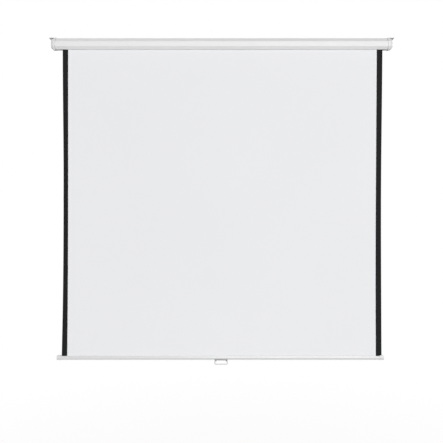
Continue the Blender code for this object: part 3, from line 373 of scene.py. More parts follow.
def apply_modifiers(obj):
    """Makes the piece's modifiers part of its mesh."""
    choose(obj)
    for modifier in list(obj.modifiers):
        bpy.ops.object.modifier_apply(modifier=modifier.name)


def thicken(obj, thickness, offset):
    """Gives a sheet its thickness."""
    wall = obj.modifiers.new("Wall", "SOLIDIFY")
    wall.thickness = thickness
    wall.offset = offset
    wall.use_even_offset = True
    apply_modifiers(obj)


def cut_with(obj, cutter):
    """Takes the cutter's shape out of the piece and removes the cutter."""
    boolean = obj.modifiers.new("Cut", "BOOLEAN")
    boolean.operation = "DIFFERENCE"
    boolean.solver = "EXACT"
    boolean.object = cutter
    apply_modifiers(obj)
    discard(cutter)


def join_into(obj, *others):
    """Joins other meshes into the piece."""
    choose(obj)
    for other in others:
        other.select_set(True)
    bpy.ops.object.join()
    return obj


def copy_of(obj, name, move=(0, 0, 0)):
    """A copy with its own mesh, moved into place in its mesh."""
    choose(obj)
    bpy.ops.object.duplicate(linked=False)
    bpy.context.object.location = move
    return named(name)


def outward(obj):
    """Turns every face to point out of a closed piece."""
    pick_all(obj)
    bpy.ops.mesh.normals_make_consistent(inside=False)


def sharp(edge, degrees):
    """Whether the faces beside an edge turn by more than an angle."""
    return len(edge.link_faces) == 2 and edge.calc_face_angle(0) > math.radians(degrees)


def meets(value, target):
    """Whether two places along an axis agree."""
    return abs(value - target) < NEAR


def along(edge, axis):
    """Whether an edge runs along X, Y or Z."""
    line = (edge.verts[1].co - edge.verts[0].co).normalized()
    return abs(line[axis]) > 0.999


def deliver(obj, body, slot, finish, *nodes, angle=30, flats=True):
    """Smooths and paints a finished piece, hangs it on its body, hides the CAD nodes that it stands
    for and keeps its flats flat.
    """
    choose(obj)
    bpy.ops.object.shade_smooth_by_angle(angle=math.radians(angle))
    if flats:
        weighted = obj.modifiers.new("Flats", "WEIGHTED_NORMAL")
        weighted.keep_sharp = True
        apply_modifiers(obj)
    deselect()
    obj.data.materials.clear()
    obj.data.materials.append(finish)
    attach(obj, body)
    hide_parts(*nodes)


def new_finish(name, roughness, metallic=0.0):
    """An empty finish: its node tree and its shader."""
    finish = bpy.data.materials.get(name) or bpy.data.materials.new(name)
    finish.use_nodes = True
    tree = finish.node_tree
    for node in list(tree.nodes):
        if node.type not in ("BSDF_PRINCIPLED", "OUTPUT_MATERIAL"):
            tree.nodes.remove(node)
    shader = tree.nodes["Principled BSDF"]
    shader.inputs["Roughness"].default_value = roughness
    shader.inputs["Metallic"].default_value = metallic
    return finish, tree, shader


def feed(tree, value, socket):
    """Links a pattern to a socket, or sets a plain number or colour on it."""
    if isinstance(value, bpy.types.NodeSocket):
        tree.links.new(value, socket)
    elif socket.type == "RGBA":
        socket.default_value = (*value, 1)
    else:
        socket.default_value = value


def add_node(tree, kind, **values):
    """A node with some inputs fed, in whose names an underscore stands for a space."""
    node = tree.nodes.new(f"ShaderNode{kind}")
    for name, value in values.items():
        feed(tree, value, node.inputs[name.replace("_", " ")])
    return node


def place_on(tree, stretch=(1, 1, 1)):
    """Object coordinates, stretched along each axis."""
    place = add_node(tree, "TexCoord").outputs["Object"]
    return add_node(tree, "Mapping", Vector=place, Scale=stretch).outputs["Vector"]


def grain(tree, scale, detail=2.0, stretch=(1, 1, 1)):
    """Noise at a number of spots a metre."""
    place = place_on(tree, stretch)
    return add_node(tree, "TexNoise", Scale=scale, Detail=detail, Vector=place).outputs["Fac"]


def threads(tree, axis):
    """Ridges of a woven backing, across one axis."""
    scale = 1 / (THREAD_PITCH * 20) * 2 * math.pi
    wave = add_node(tree, "TexWave", Scale=scale, Distortion=0.6, Vector=place_on(tree))
    wave.bands_direction = axis
    return wave.outputs["Fac"]


def remap(tree, source, low, high, from_low=0.3, from_high=0.7):
    """Carries a pattern's range over to another range."""
    return add_node(
        tree, "MapRange", Value=source,
        From_Min=from_low, From_Max=from_high, To_Min=low, To_Max=high,
    ).outputs["Result"]


def combine(tree, one, two, operation="ADD"):
    """Two patterns, or a pattern and a number, taken together."""
    node = add_node(tree, "Math")
    node.operation = operation
    feed(tree, one, node.inputs[0])
    feed(tree, two, node.inputs[1])
    return node.outputs["Value"]


def shaded(tree, colour, other, share):
    """A colour that turns to another by a pattern."""
    mix = add_node(tree, "Mix")
    mix.data_type = "RGBA"
    feed(tree, colour, mix.inputs["A"])
    feed(tree, other, mix.inputs["B"])
    feed(tree, share, mix.inputs["Factor"])
    return mix.outputs["Result"]


def roughen(tree, shader, pattern, low, high):
    """Lets the roughness go from low to high by a pattern."""
    feed(tree, remap(tree, pattern, low, high), shader.inputs["Roughness"])


def relief(tree, shader, height, depth, strength):
    """Bump on the shader's normal."""
    bump = add_node(tree, "Bump", Distance=depth, Strength=strength, Height=height)
    feed(tree, bump.outputs["Normal"], shader.inputs["Normal"])


def times(colour, share):
    """A darker tone of a colour."""
    return tuple(channel * share for channel in colour)


def dust_share(tree, amount):
    """Dust that settles on what faces up, in patches."""
    facing = add_node(tree, "NewGeometry").outputs["Normal"]
    split = add_node(tree, "SeparateXYZ", Vector=facing)
    facing_up = remap(tree, split.outputs["Z"], 0.0, amount, 0.75, 1.0)
    return combine(tree, facing_up, remap(tree, grain(tree, 35, 4), 0.2, 1.0), "MULTIPLY")


def coat_finish(name, colour, roughness, peel=700, peel_depth=0.00006, stretch=(1, 1, 1)):
    """Powder coat: faint orange peel, faint tone changes and a little dust on top."""
    finish, tree, shader = new_finish(name, roughness)
    patches = remap(tree, grain(tree, 9, 3, stretch), 0.0, 0.5)
    specks = remap(tree, grain(tree, 420, 3), 0.0, 0.5, 0.62, 0.80)
    base = shaded(tree, colour, times(colour, 0.965), combine(tree, patches, specks))
    dust = (0.56, 0.54, 0.50)
    feed(tree, shaded(tree, base, dust, dust_share(tree, 0.22)), shader.inputs["Base Color"])
    roughen(tree, shader, grain(tree, 60, 4, stretch), roughness - 0.05, roughness + 0.08)
    relief(tree, shader, grain(tree, peel, 2, stretch), peel_depth, 0.5)
    return finish


def moulded_finish(name, colour, roughness):
    """Moulded plastic with a fine eroded grain and slow sink in its faces."""
    finish, tree, shader = new_finish(name, roughness)
    shader.inputs["Subsurface Weight"].default_value = 0.04
    shader.inputs["Subsurface Radius"].default_value = (0.0012, 0.001, 0.0009)
    base = shaded(tree, colour, times(colour, 0.96), remap(tree, grain(tree, 45, 4), 0.0, 1.0))
    feed(tree, base, shader.inputs["Base Color"])
    roughen(tree, shader, grain(tree, 260, 3), roughness - 0.06, roughness + 0.06)
    sink = combine(tree, grain(tree, 90, 1), 2.5, "MULTIPLY")
    height = combine(tree, grain(tree, 2600, 2), sink)
    relief(tree, shader, height, 0.00004, 0.6)
    return finish


def cloth_finish(name, colour, roughness, fading=0.02, gloss=0.25):
    """Coated cloth: embossed grain over a fine woven backing, with a soft sheen."""
    finish, tree, shader = new_finish(name, roughness)
    shader.inputs["Sheen Weight"].default_value = gloss / 4
    shader.inputs["Sheen Roughness"].default_value = 0.5
    shader.inputs["Specular IOR Level"].default_value = gloss
    slow = remap(tree, grain(tree, 1.8, 2), 0.0, 0.6)
    fine = remap(tree, grain(tree, 700, 2), 0.0, 0.4)
    base = shaded(tree, colour, times(colour, 1 - fading), combine(tree, slow, fine))
    feed(tree, base, shader.inputs["Base Color"])
    roughen(tree, shader, grain(tree, 900, 2), roughness - 0.05, roughness + 0.05)
    weave = combine(tree, threads(tree, "X"), threads(tree, "Z"), "MAXIMUM")
    relief(tree, shader, combine(tree, weave, grain(tree, 1500, 2)), 0.00004, 0.5)
    return finish


def plated_finish(name, colour, roughness, spangle=220, metallic=1.0):
    """Plated or drawn metal: cloudy plating, fine scratches, duller in patches."""
    finish, tree, shader = new_finish(name, roughness, metallic)
    cloud = remap(tree, grain(tree, spangle, 4), 0.0, 1.0)
    feed(tree, shaded(tree, colour, times(colour, 0.80), cloud), shader.inputs["Base Color"])
    roughen(tree, shader, grain(tree, 90, 5), roughness - 0.08, roughness + 0.14)
    scratches = grain(tree, 500, 3, (1, 12, 1))
    relief(tree, shader, scratches, 0.00002, 0.5)
    return finish


def colours():
    return bpy.context.scene.screen_colours


def sizes():
    return bpy.context.scene.screen_sizes


def projection_white():
    return cloth_finish("projection_cloth", colours().cloth, 0.88)


def border_black():
    return cloth_finish("border_cloth", colours().border, 0.72, 0.25, 0.16)


def zinc_plate():
    return plated_finish("zinc_plate", colours().zinc, 0.34)


class SCREEN_OT_case(bpy.types.Operator):
    """Folds the case from one strip of sheet, with the slot that the cloth hangs through"""

    bl_idname = "screen.case"
    bl_label = "Case"

    def execute(self, context):
        own = sizes()
        top_back, top_front, face_top, face_foot, lip, heel, heel_back, back_foot = CASE_CORNERS
        deselect()
        bpy.ops.mesh.primitive_plane_add(
            size=1, location=(0, face_top[0], (face_top[1] + face_foot[1]) / 2),
            rotation=(math.pi / 2, 0, 0),
        )
        length = CASE_HIGH.x - CASE_LOW.x - 2 * own.end_gap
        context.object.scale = (length, face_top[1] - face_foot[1], 1)
        case = named("case_folded")
        heel_edge = (heel[0], heel[1] + HEEL_RETURN)
        over = [face_top, top_front, top_back, back_foot, heel_back, heel, heel_edge]
        chin = (Vector(lip) - Vector(face_foot)).normalized()
        lip_edge = Vector(lip) + Vector((-chin.y, chin.x)) * LIP_RETURN
        under = [face_foot, lip, tuple(lip_edge)]
        for path in (over, under):
            start = path[0]
            pick(case, "EDGE", lambda edge, middle: along(edge, 0) and meets(middle.z, start[1]))
            extrude(*[(0, two[0] - one[0], two[1] - one[1]) for one, two in zip(path, path[1:])])
        line = [Vector(point) for point in (*reversed(under), *over)]
        for before, fold, after in zip(line, line[1:], line[2:]):
            turn = abs((fold - before).angle_signed(after - fold))
            corner = Vector((0, *fold))
            soften(
                case, own.fold_radius * math.tan(turn / 2),
                lambda edge, middle: along(edge, 0) and (middle - corner).length < 10 * NEAR, 5,
            )
        thicken(case, own.case_wall, -1)
        break_edges(case, own.edge_round)
        finish = coat_finish("white_paint_coat", colours().paint, 0.5)
        deliver(case, "case", "white_paint", finish, "case_shell")
        return {"FINISHED"}


def trim_to_case(piece, distance):
    """Cuts the piece along the case's slanted faces, moved out by a distance."""
    for index in SLANTED_FACES:
        one, two = Vector(CASE_CORNERS[index]), Vector(CASE_CORNERS[index + 1])
        way = (two - one).normalized()
        facing = Vector((way.y, -way.x))
        slice_off(piece, (0, *(one + facing * distance)), (0, *facing))


def hollow(piece, end_x, depth):
    """Sinks the face at one end and leaves a wall round it."""
    pick(piece, "FACE", lambda face, middle: meets(middle.x, end_x))
    bpy.ops.mesh.inset(thickness=CAP_WALL)
    extrude((depth, 0, 0))


def end_cap(name, side):
    """The moulded end cap, hipped towards its end and rounded, hollow where the case meets it."""
    inner, outer = CASE_HIGH.x + CAP_GAP, CAP_HIGH.x
    land, rim = inner + 0.010, inner + 0.004
    low, high = sorted((side * inner, side * outer))
    cap = add_box(name, (low, CAP_LOW.y, CAP_LOW.z), (high, CAP_BACK, CAP_HIGH.z))
    trim_to_case(cap, CASE_LOW.y - CAP_LOW.y)
    mirror = Vector((side, 1, 1))
    for through, facing in (
        ((land, 0, CAP_HIGH.z), (0.014, 0, outer - land)),
        ((rim, 0, CAP_LOW.z), (0.010, 0, rim - outer)),
        ((land, CAP_LOW.y, 0), (0.006, land - outer, 0)),
        ((land, CAP_BACK, 0), (0.006, outer - land, 0)),
        ((land, CAP_LOW.y, BROW_Z), (0.163, -1, 1)),
        ((land, CAP_LOW.y, CHIN_Z), (0.566, -1, -0.739)),
    ):
        slice_off(cap, Vector(through) * mirror, (Vector(facing) * mirror).normalized())
    soften(
        cap, sizes().cap_corner,
        lambda edge, middle: sharp(edge, 4)
        and not all(meets(vert.co.x, side * inner) for vert in edge.verts), 4,
    )
    hollow(cap, side * inner, side * 0.003)
    return cap


def skirt(side):
    """The plug of the end cap inside the case, open below over the slot."""
    start, end = side * (CASE_HIGH.x - 0.014), side * (CASE_HIGH.x + 0.004)
    low, high = sorted((start, end))
    box = add_box(
        "skirt", (low, CASE_LOW.y + 0.0015, -0.0205), (high, -0.0035, CASE_HIGH.z - 0.0015)
    )
    trim_to_case(box, -0.0016)
    soften(box, 0.0015, lambda edge, middle: along(edge, 0))
    hollow(box, start, side * 0.012)
    return box


class SCREEN_OT_end_caps(bpy.types.Operator):
    """Cuts, hips and rounds the two moulded end caps and hollows their skirts"""

    bl_idname = "screen.end_caps"
    bl_label = "End caps"

    def execute(self, context):
        finish = moulded_finish("white_plastic_moulding", colours().plastic, 0.46)
        for name, side in SIDES:
            cap = join_into(end_cap(f"end_cap_{name}_moulding", side), skirt(side))
            outward(cap)
            deliver(cap, "case", "white_plastic", finish, f"end_cap_{name}")
        return {"FINISHED"}


def cut_fixing_slot(leaf, centre, direction, through):
    """Cuts an obround slot with a cylinder whose halves are drawn apart along a direction."""
    centre, direction, half = Vector(centre), Vector(direction), Vector(through) / 2
    turn = (math.pi / 2, 0, 0) if half.y else (0, 0, 0)
    tool = add_round("slot", FIXING_RADIUS, centre - half, centre + half, turn, 24)
    for sign in (-1, 1):
        pick(tool, "VERT", lambda vert, middle: sign * (middle - centre).dot(direction) > 1e-6)
        bpy.ops.transform.translate(value=direction * sign * (FIXING_LENGTH / 2 - FIXING_RADIUS))
    cut_with(leaf, tool)


class SCREEN_OT_brackets(bpy.types.Operator):
    """Bends the two mounting brackets from plate and cuts their fixing slots"""

    bl_idname = "screen.brackets"
    bl_label = "Mounting brackets"

    def execute(self, context):
        finish = plated_finish("dull_zinc_plate", colours().zinc, 0.5, metallic=0.3)
        top, foot, front = BRACKET_HIGH.z, BRACKET_LOW.z, BRACKET_LOW.y
        for name, side in SIDES:
            outer = side * BRACKET_HIGH.x
            low, high = sorted((side * BRACKET_LOW.x, outer))
            bracket = add_box(
                f"bracket_{name}_plate", (low, front, top - BRACKET_PLATE), (high, 0, top)
            )
            split_at(bracket, (0, -BRACKET_PLATE, 0), (0, 1, 0))
            pick(
                bracket, "FACE",
                lambda face, middle: looks_down(face, middle) and middle.y > -BRACKET_PLATE,
            )
            extrude((0, 0, foot - top + BRACKET_PLATE))
            soften(
                bracket, 0.005,
                lambda edge, middle: meets(middle.x, outer) and (
                    (along(edge, 2) and meets(middle.y, front))
                    or (along(edge, 1) and meets(middle.z, foot))
                ), 6,
            )
            soften(
                bracket, 0.0025,
                lambda edge, middle: along(edge, 0) and meets(middle.y, 0)
                and meets(middle.z, top), 6,
            )
            fixing_x = side * (CAP_HIGH.x + BRACKET_HIGH.x) / 2
            cut_fixing_slot(bracket, (fixing_x, front / 2, top), (0, 1, 0), (0, 0, 0.01))
            cut_fixing_slot(bracket, (fixing_x, 0, FIXING_Z), (0, 0, 1), (0, 0.01, 0))
            for depth in SCREW_DEPTHS:
                place = Vector((side * BRACKET_SCREW_X, -depth, top))
                bottom, brim = Vector((0, 0, SINK_DEPTH)), Vector((0, 0, 0.0002))
                tool = add_round("sink", SINK_RADIUS, place - bottom, place + brim)
                pick(tool, "FACE", looks_down)
                taper(0.55, place)
                extrude((0, 0, -0.004))
                cut_with(bracket, tool)
            break_edges(bracket, 0.00018, 50)
            deliver(bracket, "case", "zinc_steel", finish, f"mounting_bracket_{name}")
        return {"FINISHED"}


def cross_recess(screw, depth):
    """Cuts a tapered cross into the head."""
    for x, y in ((CROSS_REACH, CROSS_HALF), (CROSS_HALF, CROSS_REACH)):
        tool = add_box("cross", (-x, -y, -depth), (x, y, 0.003))
        pick(tool, "FACE", looks_down)
        taper(0.4)
        cut_with(screw, tool)


def pan_head():
    """A pan head on z = 0, with a dome, a cross and the start of its shank."""
    screw = add_round("pan_head", HEAD_RADIUS, (0, 0, 0), (0, 0, 0.0009))
    pick(screw, "FACE", looks_up)
    for inward, rise in ((0.00035, 0.00045), (0.0007, 0.0003), (0.0009, 0.00015)):
        bpy.ops.mesh.inset(thickness=inward)
        bpy.ops.transform.translate(value=(0, 0, rise))
    pick(screw, "FACE", looks_down)
    bpy.ops.mesh.inset(thickness=0.0015)
    extrude((0, 0, -SHANK_LENGTH))
    cross_recess(screw, -0.0006)
    return screw


def flat_head():
    """A countersunk head, flush with z = 0."""
    screw = add_round("flat_head", HEAD_RADIUS, (0, 0, -0.0002), (0, 0, 0))
    pick(screw, "FACE", looks_down)
    extrude((0, 0, -0.0015))
    taper(0.5)
    extrude((0, 0, -SHANK_LENGTH))
    cross_recess(screw, 0.0012)
    return screw


class SCREEN_OT_screws(bpy.types.Operator):
    """Models one pan-head and one countersunk screw and copies them to their places"""

    bl_idname = "screen.screws"
    bl_label = "Screws"

    def execute(self, context):
        finish = zinc_plate()
        pan, sunk = pan_head(), flat_head()
        for side_name, side in SIDES:
            for end, depth in zip(("rear", "front"), SCREW_DEPTHS):
                for head, kind, held, x, z in (
                    (pan, "case", "cap", CAP_SCREW_X, CASE_HIGH.z),
                    (sunk, "sunk", "bracket", BRACKET_SCREW_X, BRACKET_HIGH.z - 0.00005),
                ):
                    screw = copy_of(head, f"{kind}_screw_{side_name}_{end}", (side * x, -depth, z))
                    deliver(screw, "case", "zinc_steel", finish, f"{held}_screw_{side_name}_{end}")
            screw = copy_of(pan, f"bar_screw_{side_name}")
            pick_all(screw)
            bpy.ops.transform.rotate(value=math.pi, orient_axis="X", center_override=(0, 0, 0))
            bpy.ops.transform.translate(
                value=(HANDLE_X + side * SADDLE_SCREW_X, SHEET_Y, SADDLE_FOOT)
            )
            deliver(screw, "bar", "zinc_steel", finish, f"saddle_screw_{side_name}")
        discard(pan, sunk)
        return {"FINISHED"}


def wave_at(x, share):
    """How far the hanging cloth stands out of its plane, nothing at the roller and at the bar."""
    fade = math.sin(math.pi * min(max(share, 0) / CALM_SHARE, 1)) ** 0.8
    across = math.sin(2.1 * x * 2 * math.pi / CLOTH_WIDTH + 0.9)
    slow = across * math.cos(1.3 * share * math.pi - 0.4)
    cross = 0.5 * math.sin(5.2 * x + 3.4 * share)
    return sizes().cloth_wave * fade * (slow + cross)


def hung(x, y, share):
    """A point of the cloth at a share of its drop, leaning a little and drawn in at its seams."""
    own = sizes()
    lean = own.skew_top + (own.skew_foot - own.skew_top) * share
    seam = min(abs(x) / SHEET_HIGH.x, 1) ** 4
    drawn = own.seam_draw * math.sin(math.pi * min(max(share, 0), 1) ** 1.5)
    return Vector((x + lean - math.copysign(seam * drawn, x), y, share * SHEET_LOW.z))


def seam_x():
    """Where the white cloth ends and a border begins."""
    return SHEET_HIGH.x + SEAM_GAP - sizes().overlap


def border_width(side):
    """From a border's inner edge to its outer edge."""
    own = sizes()
    spare = own.right_spare if side > 0 else 0
    return BORDER_HIGH.x - SHEET_HIGH.x - SEAM_GAP + 2 * own.overlap + spare


def curl_at(side, share):
    """How much of a border's turn shows; the left one keeps it almost down to the bar."""
    share = min(max(share, 0), 1)
    if side < 0 and share > 0.5:
        return 1 - (2 * share - 1) ** 3
    return math.sin(math.pi * min(share / FLAT_SHARE, 1)) ** 1.5


def border_place(side, angle, reach, share):
    """A point of the border, which turns back in an arc, reach metres out from its inner edge."""
    seam = seam_x()
    turned = angle * curl_at(side, share) * reach / border_width(side)
    if turned < 1e-6:
        out, back = reach, 0.0
    else:
        out = reach * math.sin(turned) / turned
        back = reach * (1 - math.cos(turned)) / turned
    y = SHEET_Y + wave_at(side * seam, share) + back
    return hung(side * (seam + out), y, share)


class SCREEN_OT_cloth(bpy.types.Operator):
    """Hangs the white cloth and its two black borders from the roller to the bar"""

    bl_idname = "screen.cloth"
    bl_label = "Projection cloth"

    def execute(self, context):
        own = sizes()
        seam = seam_x()
        white = add_sheet_grid(
            "cloth_white", 110, 120,
            lambda u, v: hung((2 * u - 1) * seam, SHEET_Y + wave_at((2 * u - 1) * seam, v), v),
        )
        black_finish = border_black()
        pieces = [(white, "screen_sheet", "matt_white_vinyl", projection_white(), 2 * seam)]
        for name, side, angle in (("left", -1, own.curl_left), ("right", 1, own.curl_right)):
            width = border_width(side)
            border = add_sheet_grid(
                f"cloth_border_{name}", 16, 120,
                lambda u, v: border_place(side, angle, width * (u if side > 0 else 1 - u), v),
            )
            pieces.append((border, f"black_border_{name}", "black_vinyl", black_finish, width))
        for piece, node, slot, finish, across in pieces:
            thicken(piece, own.cloth_thickness, 0)
            deliver(piece, "case", slot, finish, node, angle=60, flats=False)
            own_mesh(piece)
        white.data.materials.append(black_finish)
        for face in white.data.polygons:
            if face.normal.y > 0.5:
                face.material_index = 1
        return {"FINISHED"}


class SCREEN_OT_wound_cloth(bpy.types.Operator):
    """Winds the turns of cloth that stay on the roller"""

    bl_idname = "screen.wound_cloth"
    bl_label = "Wound cloth"

    def execute(self, context):
        own = sizes()
        inner = WOUND_RADIUS + own.cloth_thickness / 2 + 0.00002
        outer = WRAPS_HIGH.z - own.cloth_thickness / 2 - 0.00001
        white_low, white_high = own.skew_top - SHEET_HIGH.x, own.skew_top + SHEET_HIGH.x
        columns = (WRAPS_LOW.x, white_low, white_high, WRAPS_HIGH.x)

        def place(u, v):
            radius = inner + (outer - inner) * v
            angle = math.pi - (1 - v) * WOUND_TURNS * 2 * math.pi
            y, z = ROLLER_Y + radius * math.cos(angle), radius * math.sin(angle)
            return Vector((columns[round(3 * u)], y, z))

        wound = add_sheet_grid("cloth_wound", 3, 160, place)
        thicken(wound, own.cloth_thickness, 0)
        deliver(
            wound, "roller", "matt_white_vinyl", projection_white(), "sheet_wraps",
            angle=60, flats=False,
        )
        wound.data.materials.append(border_black())
        axis = Vector((0, ROLLER_Y, 0))
        for face in wound.data.polygons:
            out = face.center - axis
            inward = face.normal.y * out.y + face.normal.z * out.z < 0
            if inward or not white_low < out.x < white_high:
                face.material_index = 1
        return {"FINISHED"}


def bar_box(name, low, high, proud):
    """A box cut to the bar's six-sided section."""
    middle_z = (BAR_LOW.z + BAR_HIGH.z) / 2
    half = (BAR_HIGH.y - BAR_LOW.y) / 2
    box = add_box(
        name, (low, SHEET_Y - half - proud, BAR_LOW.z - proud),
        (high, SHEET_Y + half + proud, BAR_HIGH.z + proud),
    )
    for front in (-1, 1):
        for end_half, z in ((BAR_TOP_HALF, BAR_HIGH.z), (BAR_FOOT_HALF, BAR_LOW.z)):
            way = Vector((end_half - half, z - middle_z)).normalized()
            facing = Vector((abs(way.y), math.copysign(abs(way.x), z - middle_z)))
            through = Vector((half, middle_z)) + facing * proud
            slice_off(
                box, (0, SHEET_Y + front * through.x, through.y), (0, front * facing.x, facing.y)
            )
    return box


def cut_slit(piece, start, end):
    """Cuts the slit that takes the cloth's foot into the top of the bar or of a cap."""
    low, high = sorted((start, end))
    tool = add_box(
        "slit", (low, SHEET_Y - SLIT_HALF, BAR_HIGH.z - SLIT_DEPTH),
        (high, SHEET_Y + SLIT_HALF, BAR_HIGH.z + 0.01),
    )
    cut_with(piece, tool)


class SCREEN_OT_bottom_bar(bpy.types.Operator):
    """Shapes the extruded bottom bar with the slit that takes the cloth"""

    bl_idname = "screen.bottom_bar"
    bl_label = "Bottom bar"

    def execute(self, context):
        bar = bar_box("bar_extrusion", BAR_LOW.x, BAR_HIGH.x, 0)
        slice_off(bar, (0, 0, BAR_HIGH.z - BAR_TOP_CUT), (0, 0, 1))
        soften(bar, 0.0008, lambda edge, middle: along(edge, 0) and sharp(edge, 5), 4)
        cut_slit(bar, BAR_LOW.x - 0.01, BAR_HIGH.x + 0.01)
        finish = coat_finish("bar_coat", colours().bar, 0.34, 900, 0.00004, (0.08, 1, 1))
        deliver(bar, "bar", "bar_aluminium", finish, "bottom_bar", angle=20)
        return {"FINISHED"}


class SCREEN_OT_bar_caps(bpy.types.Operator):
    """Shapes the two moulded caps of the bottom bar"""

    bl_idname = "screen.bar_caps"
    bl_label = "Bar caps"

    def execute(self, context):
        finish = moulded_finish("bar_cap_moulding_coat", colours().bar, 0.46)
        shoulder = BAR_CAP_SHOULDER
        for name, side, edge_x in (("left", -1, BAR_LOW.x), ("right", 1, BAR_HIGH.x)):
            start = edge_x + side * CAP_GAP
            end = edge_x + side * (CAP_GAP + BAR_CAP_LENGTH)
            low, high = sorted((start, end))
            cap = bar_box(f"bar_cap_{name}_moulding", low, high, BAR_CAP_PROUD)
            centre = Vector((end - side * shoulder, 0, BAR_HIGH.z + BAR_CAP_PROUD - shoulder))
            for degrees in (15, 30, 45, 60, 75):
                turn = math.radians(degrees)
                facing = Vector((side * math.cos(turn), 0, math.sin(turn)))
                slice_off(cap, centre + facing * shoulder, facing)
            soften(
                cap, 0.0007,
                lambda edge, middle: sharp(edge, 20) and not meets(middle.x, start),
            )
            cut_slit(cap, start - side * 0.01, end - side * shoulder)
            deliver(cap, "bar", "white_plastic", finish, f"bar_cap_{name}", angle=20)
        return {"FINISHED"}


class SCREEN_OT_pull_handle(bpy.types.Operator):
    """Bends the pull handle from one wire, pivot to pivot"""

    bl_idname = "screen.pull_handle"
    bl_label = "Pull handle"

    def execute(self, context):
        radius = sizes().wire_radius
        pivot_z = HANDLE_HIGH.z - radius
        foot_z = HANDLE_LOW.z + radius
        half = (HANDLE_HIGH.x - HANDLE_LOW.x) / 2 - radius
        bend_z, corner_z = pivot_z - BEND_RADIUS, foot_z + CORNER_RADIUS
        bend_x, corner_x = half - BEND_RADIUS, half - CORNER_RADIUS
        straight = (PIVOT_LENGTH - BEND_RADIUS, 0, 0)
        start = (HANDLE_X + half - PIVOT_LENGTH, SHEET_Y, pivot_z)
        handle = add_ring("handle_wire", 20, radius, start, "NGON")
        pick_all(handle)
        for step, steps, x, z in (
            (straight, 8, bend_x, bend_z),
            ((0, 0, corner_z - bend_z), 10, corner_x, corner_z),
            ((-2 * corner_x, 0, 0), 10, -corner_x, corner_z),
            ((0, 0, bend_z - corner_z), 8, -bend_x, bend_z),
        ):
            extrude(step)
            bpy.ops.mesh.spin(
                steps=steps, angle=-math.pi / 2, center=(HANDLE_X + x, SHEET_Y, z), axis=(0, 1, 0)
            )
        extrude(straight)
        bpy.ops.mesh.select_all(action="SELECT")
        bpy.ops.mesh.remove_doubles(threshold=1e-6)
        outward(handle)
        finish = coat_finish("wire_coat", colours().wire, 0.34, 1200, 0.00003)
        deliver(handle, "handle", "coated_wire", finish, "pull_handle", angle=50)
        return {"FINISHED"}


class SCREEN_OT_saddle(bpy.types.Operator):
    """Bends the saddle under the bar up at its front and rolls its two knuckles"""

    bl_idname = "screen.saddle"
    bl_label = "Handle saddle"

    def execute(self, context):
        own = sizes()
        front, plate = SADDLE_LOW.y + 0.001, 0.0015
        saddle = add_box(
            "saddle_plate", (SADDLE_LOW.x, SADDLE_LOW.y, SADDLE_FOOT),
            (SADDLE_HIGH.x, SHEET_Y + BAR_FOOT_HALF, SADDLE_FOOT + plate),
        )
        split_at(saddle, (0, front, 0), (0, 1, 0))
        pick(saddle, "FACE", lambda face, middle: looks_up(face, middle) and middle.y < front)
        extrude((0, 0, SADDLE_HIGH.z - SADDLE_FOOT - plate))
        soften(
            saddle, 0.0012,
            lambda edge, middle: along(edge, 1) and meets(middle.z, SADDLE_HIGH.z), 5,
        )
        soften(
            saddle, 0.0009,
            lambda edge, middle: along(edge, 0) and meets(middle.y, SADDLE_LOW.y)
            and meets(middle.z, SADDLE_FOOT), 5,
        )
        break_edges(saddle, 0.0002)
        half = (HANDLE_HIGH.x - HANDLE_LOW.x) / 2 - own.wire_radius - BEND_RADIUS
        for side in (-1, 1):
            start = (HANDLE_X + side * half, SHEET_Y, HANDLE_HIGH.z - own.wire_radius)
            outer = own.wire_radius + KNUCKLE_GAP + KNUCKLE_WALL
            knuckle = add_ring("knuckle", 28, outer, start)
            pick_all(knuckle, "EDGE")
            extrude((-side * KNUCKLE_LENGTH, 0, 0))
            outward(knuckle)
            thicken(knuckle, KNUCKLE_WALL, -1)
            break_edges(knuckle, 0.0002)
            join_into(saddle, knuckle)
        # Dark grey saddle coat: partly the saddle's own colour, partly painted shade along the
        # bar's foot.
        finish = coat_finish("grey_coat_and_painted_shade", colours().saddle, 0.45)
        deliver(saddle, "bar", "grey_paint", finish, "handle_saddle")
        return {"FINISHED"}


class SCREEN_OT_inner_works(bpy.types.Operator):
    """Paints the roller, spring, ratchet and pawls inside the case"""

    bl_idname = "screen.inner_works"
    bl_label = "Roller and spring motor"

    def execute(self, context):
        finishes = {
            "zinc_steel": zinc_plate(),
            "spring_steel": plated_finish("spring_steel_wire", (0.30, 0.31, 0.33), 0.32, 400),
            "die_cast_zinc": plated_finish("die_cast_zinc_rough", (0.50, 0.51, 0.52), 0.48, 120),
            "nylon": moulded_finish("nylon_moulding", (0.75, 0.74, 0.70), 0.5),
        }
        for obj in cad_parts.values():
            if not obj.hide_render:
                slot = obj.data.materials[0].name.split(".")[0]
                obj.material_slots[0].material = finishes[slot]
        return {"FINISHED"}


def mix_shaders(tree, share, one, two):
    """One shader that gives way to another by a share."""
    mix = add_node(tree, "MixShader")
    for source, socket in zip((share, one, two), mix.inputs):
        tree.links.new(source, socket)
    return mix.outputs["Shader"]


def white_to_camera(tree, surface, share):
    """Joins a surface with plain white that only camera, mirror and see-through rays meet."""
    path = add_node(tree, "LightPath")
    seen = path.outputs["Is Camera Ray"]
    for ray in ("Is Glossy Ray", "Is Transmission Ray"):
        seen = combine(tree, seen, path.outputs[ray], "MAXIMUM")
    seen = combine(tree, seen, share, "MULTIPLY")
    in_world = surface.node.type == "BACKGROUND"
    white = add_node(tree, "Background" if in_world else "Emission", Color=(1, 1, 1))
    return mix_shaders(tree, seen, surface, white.outputs[0])


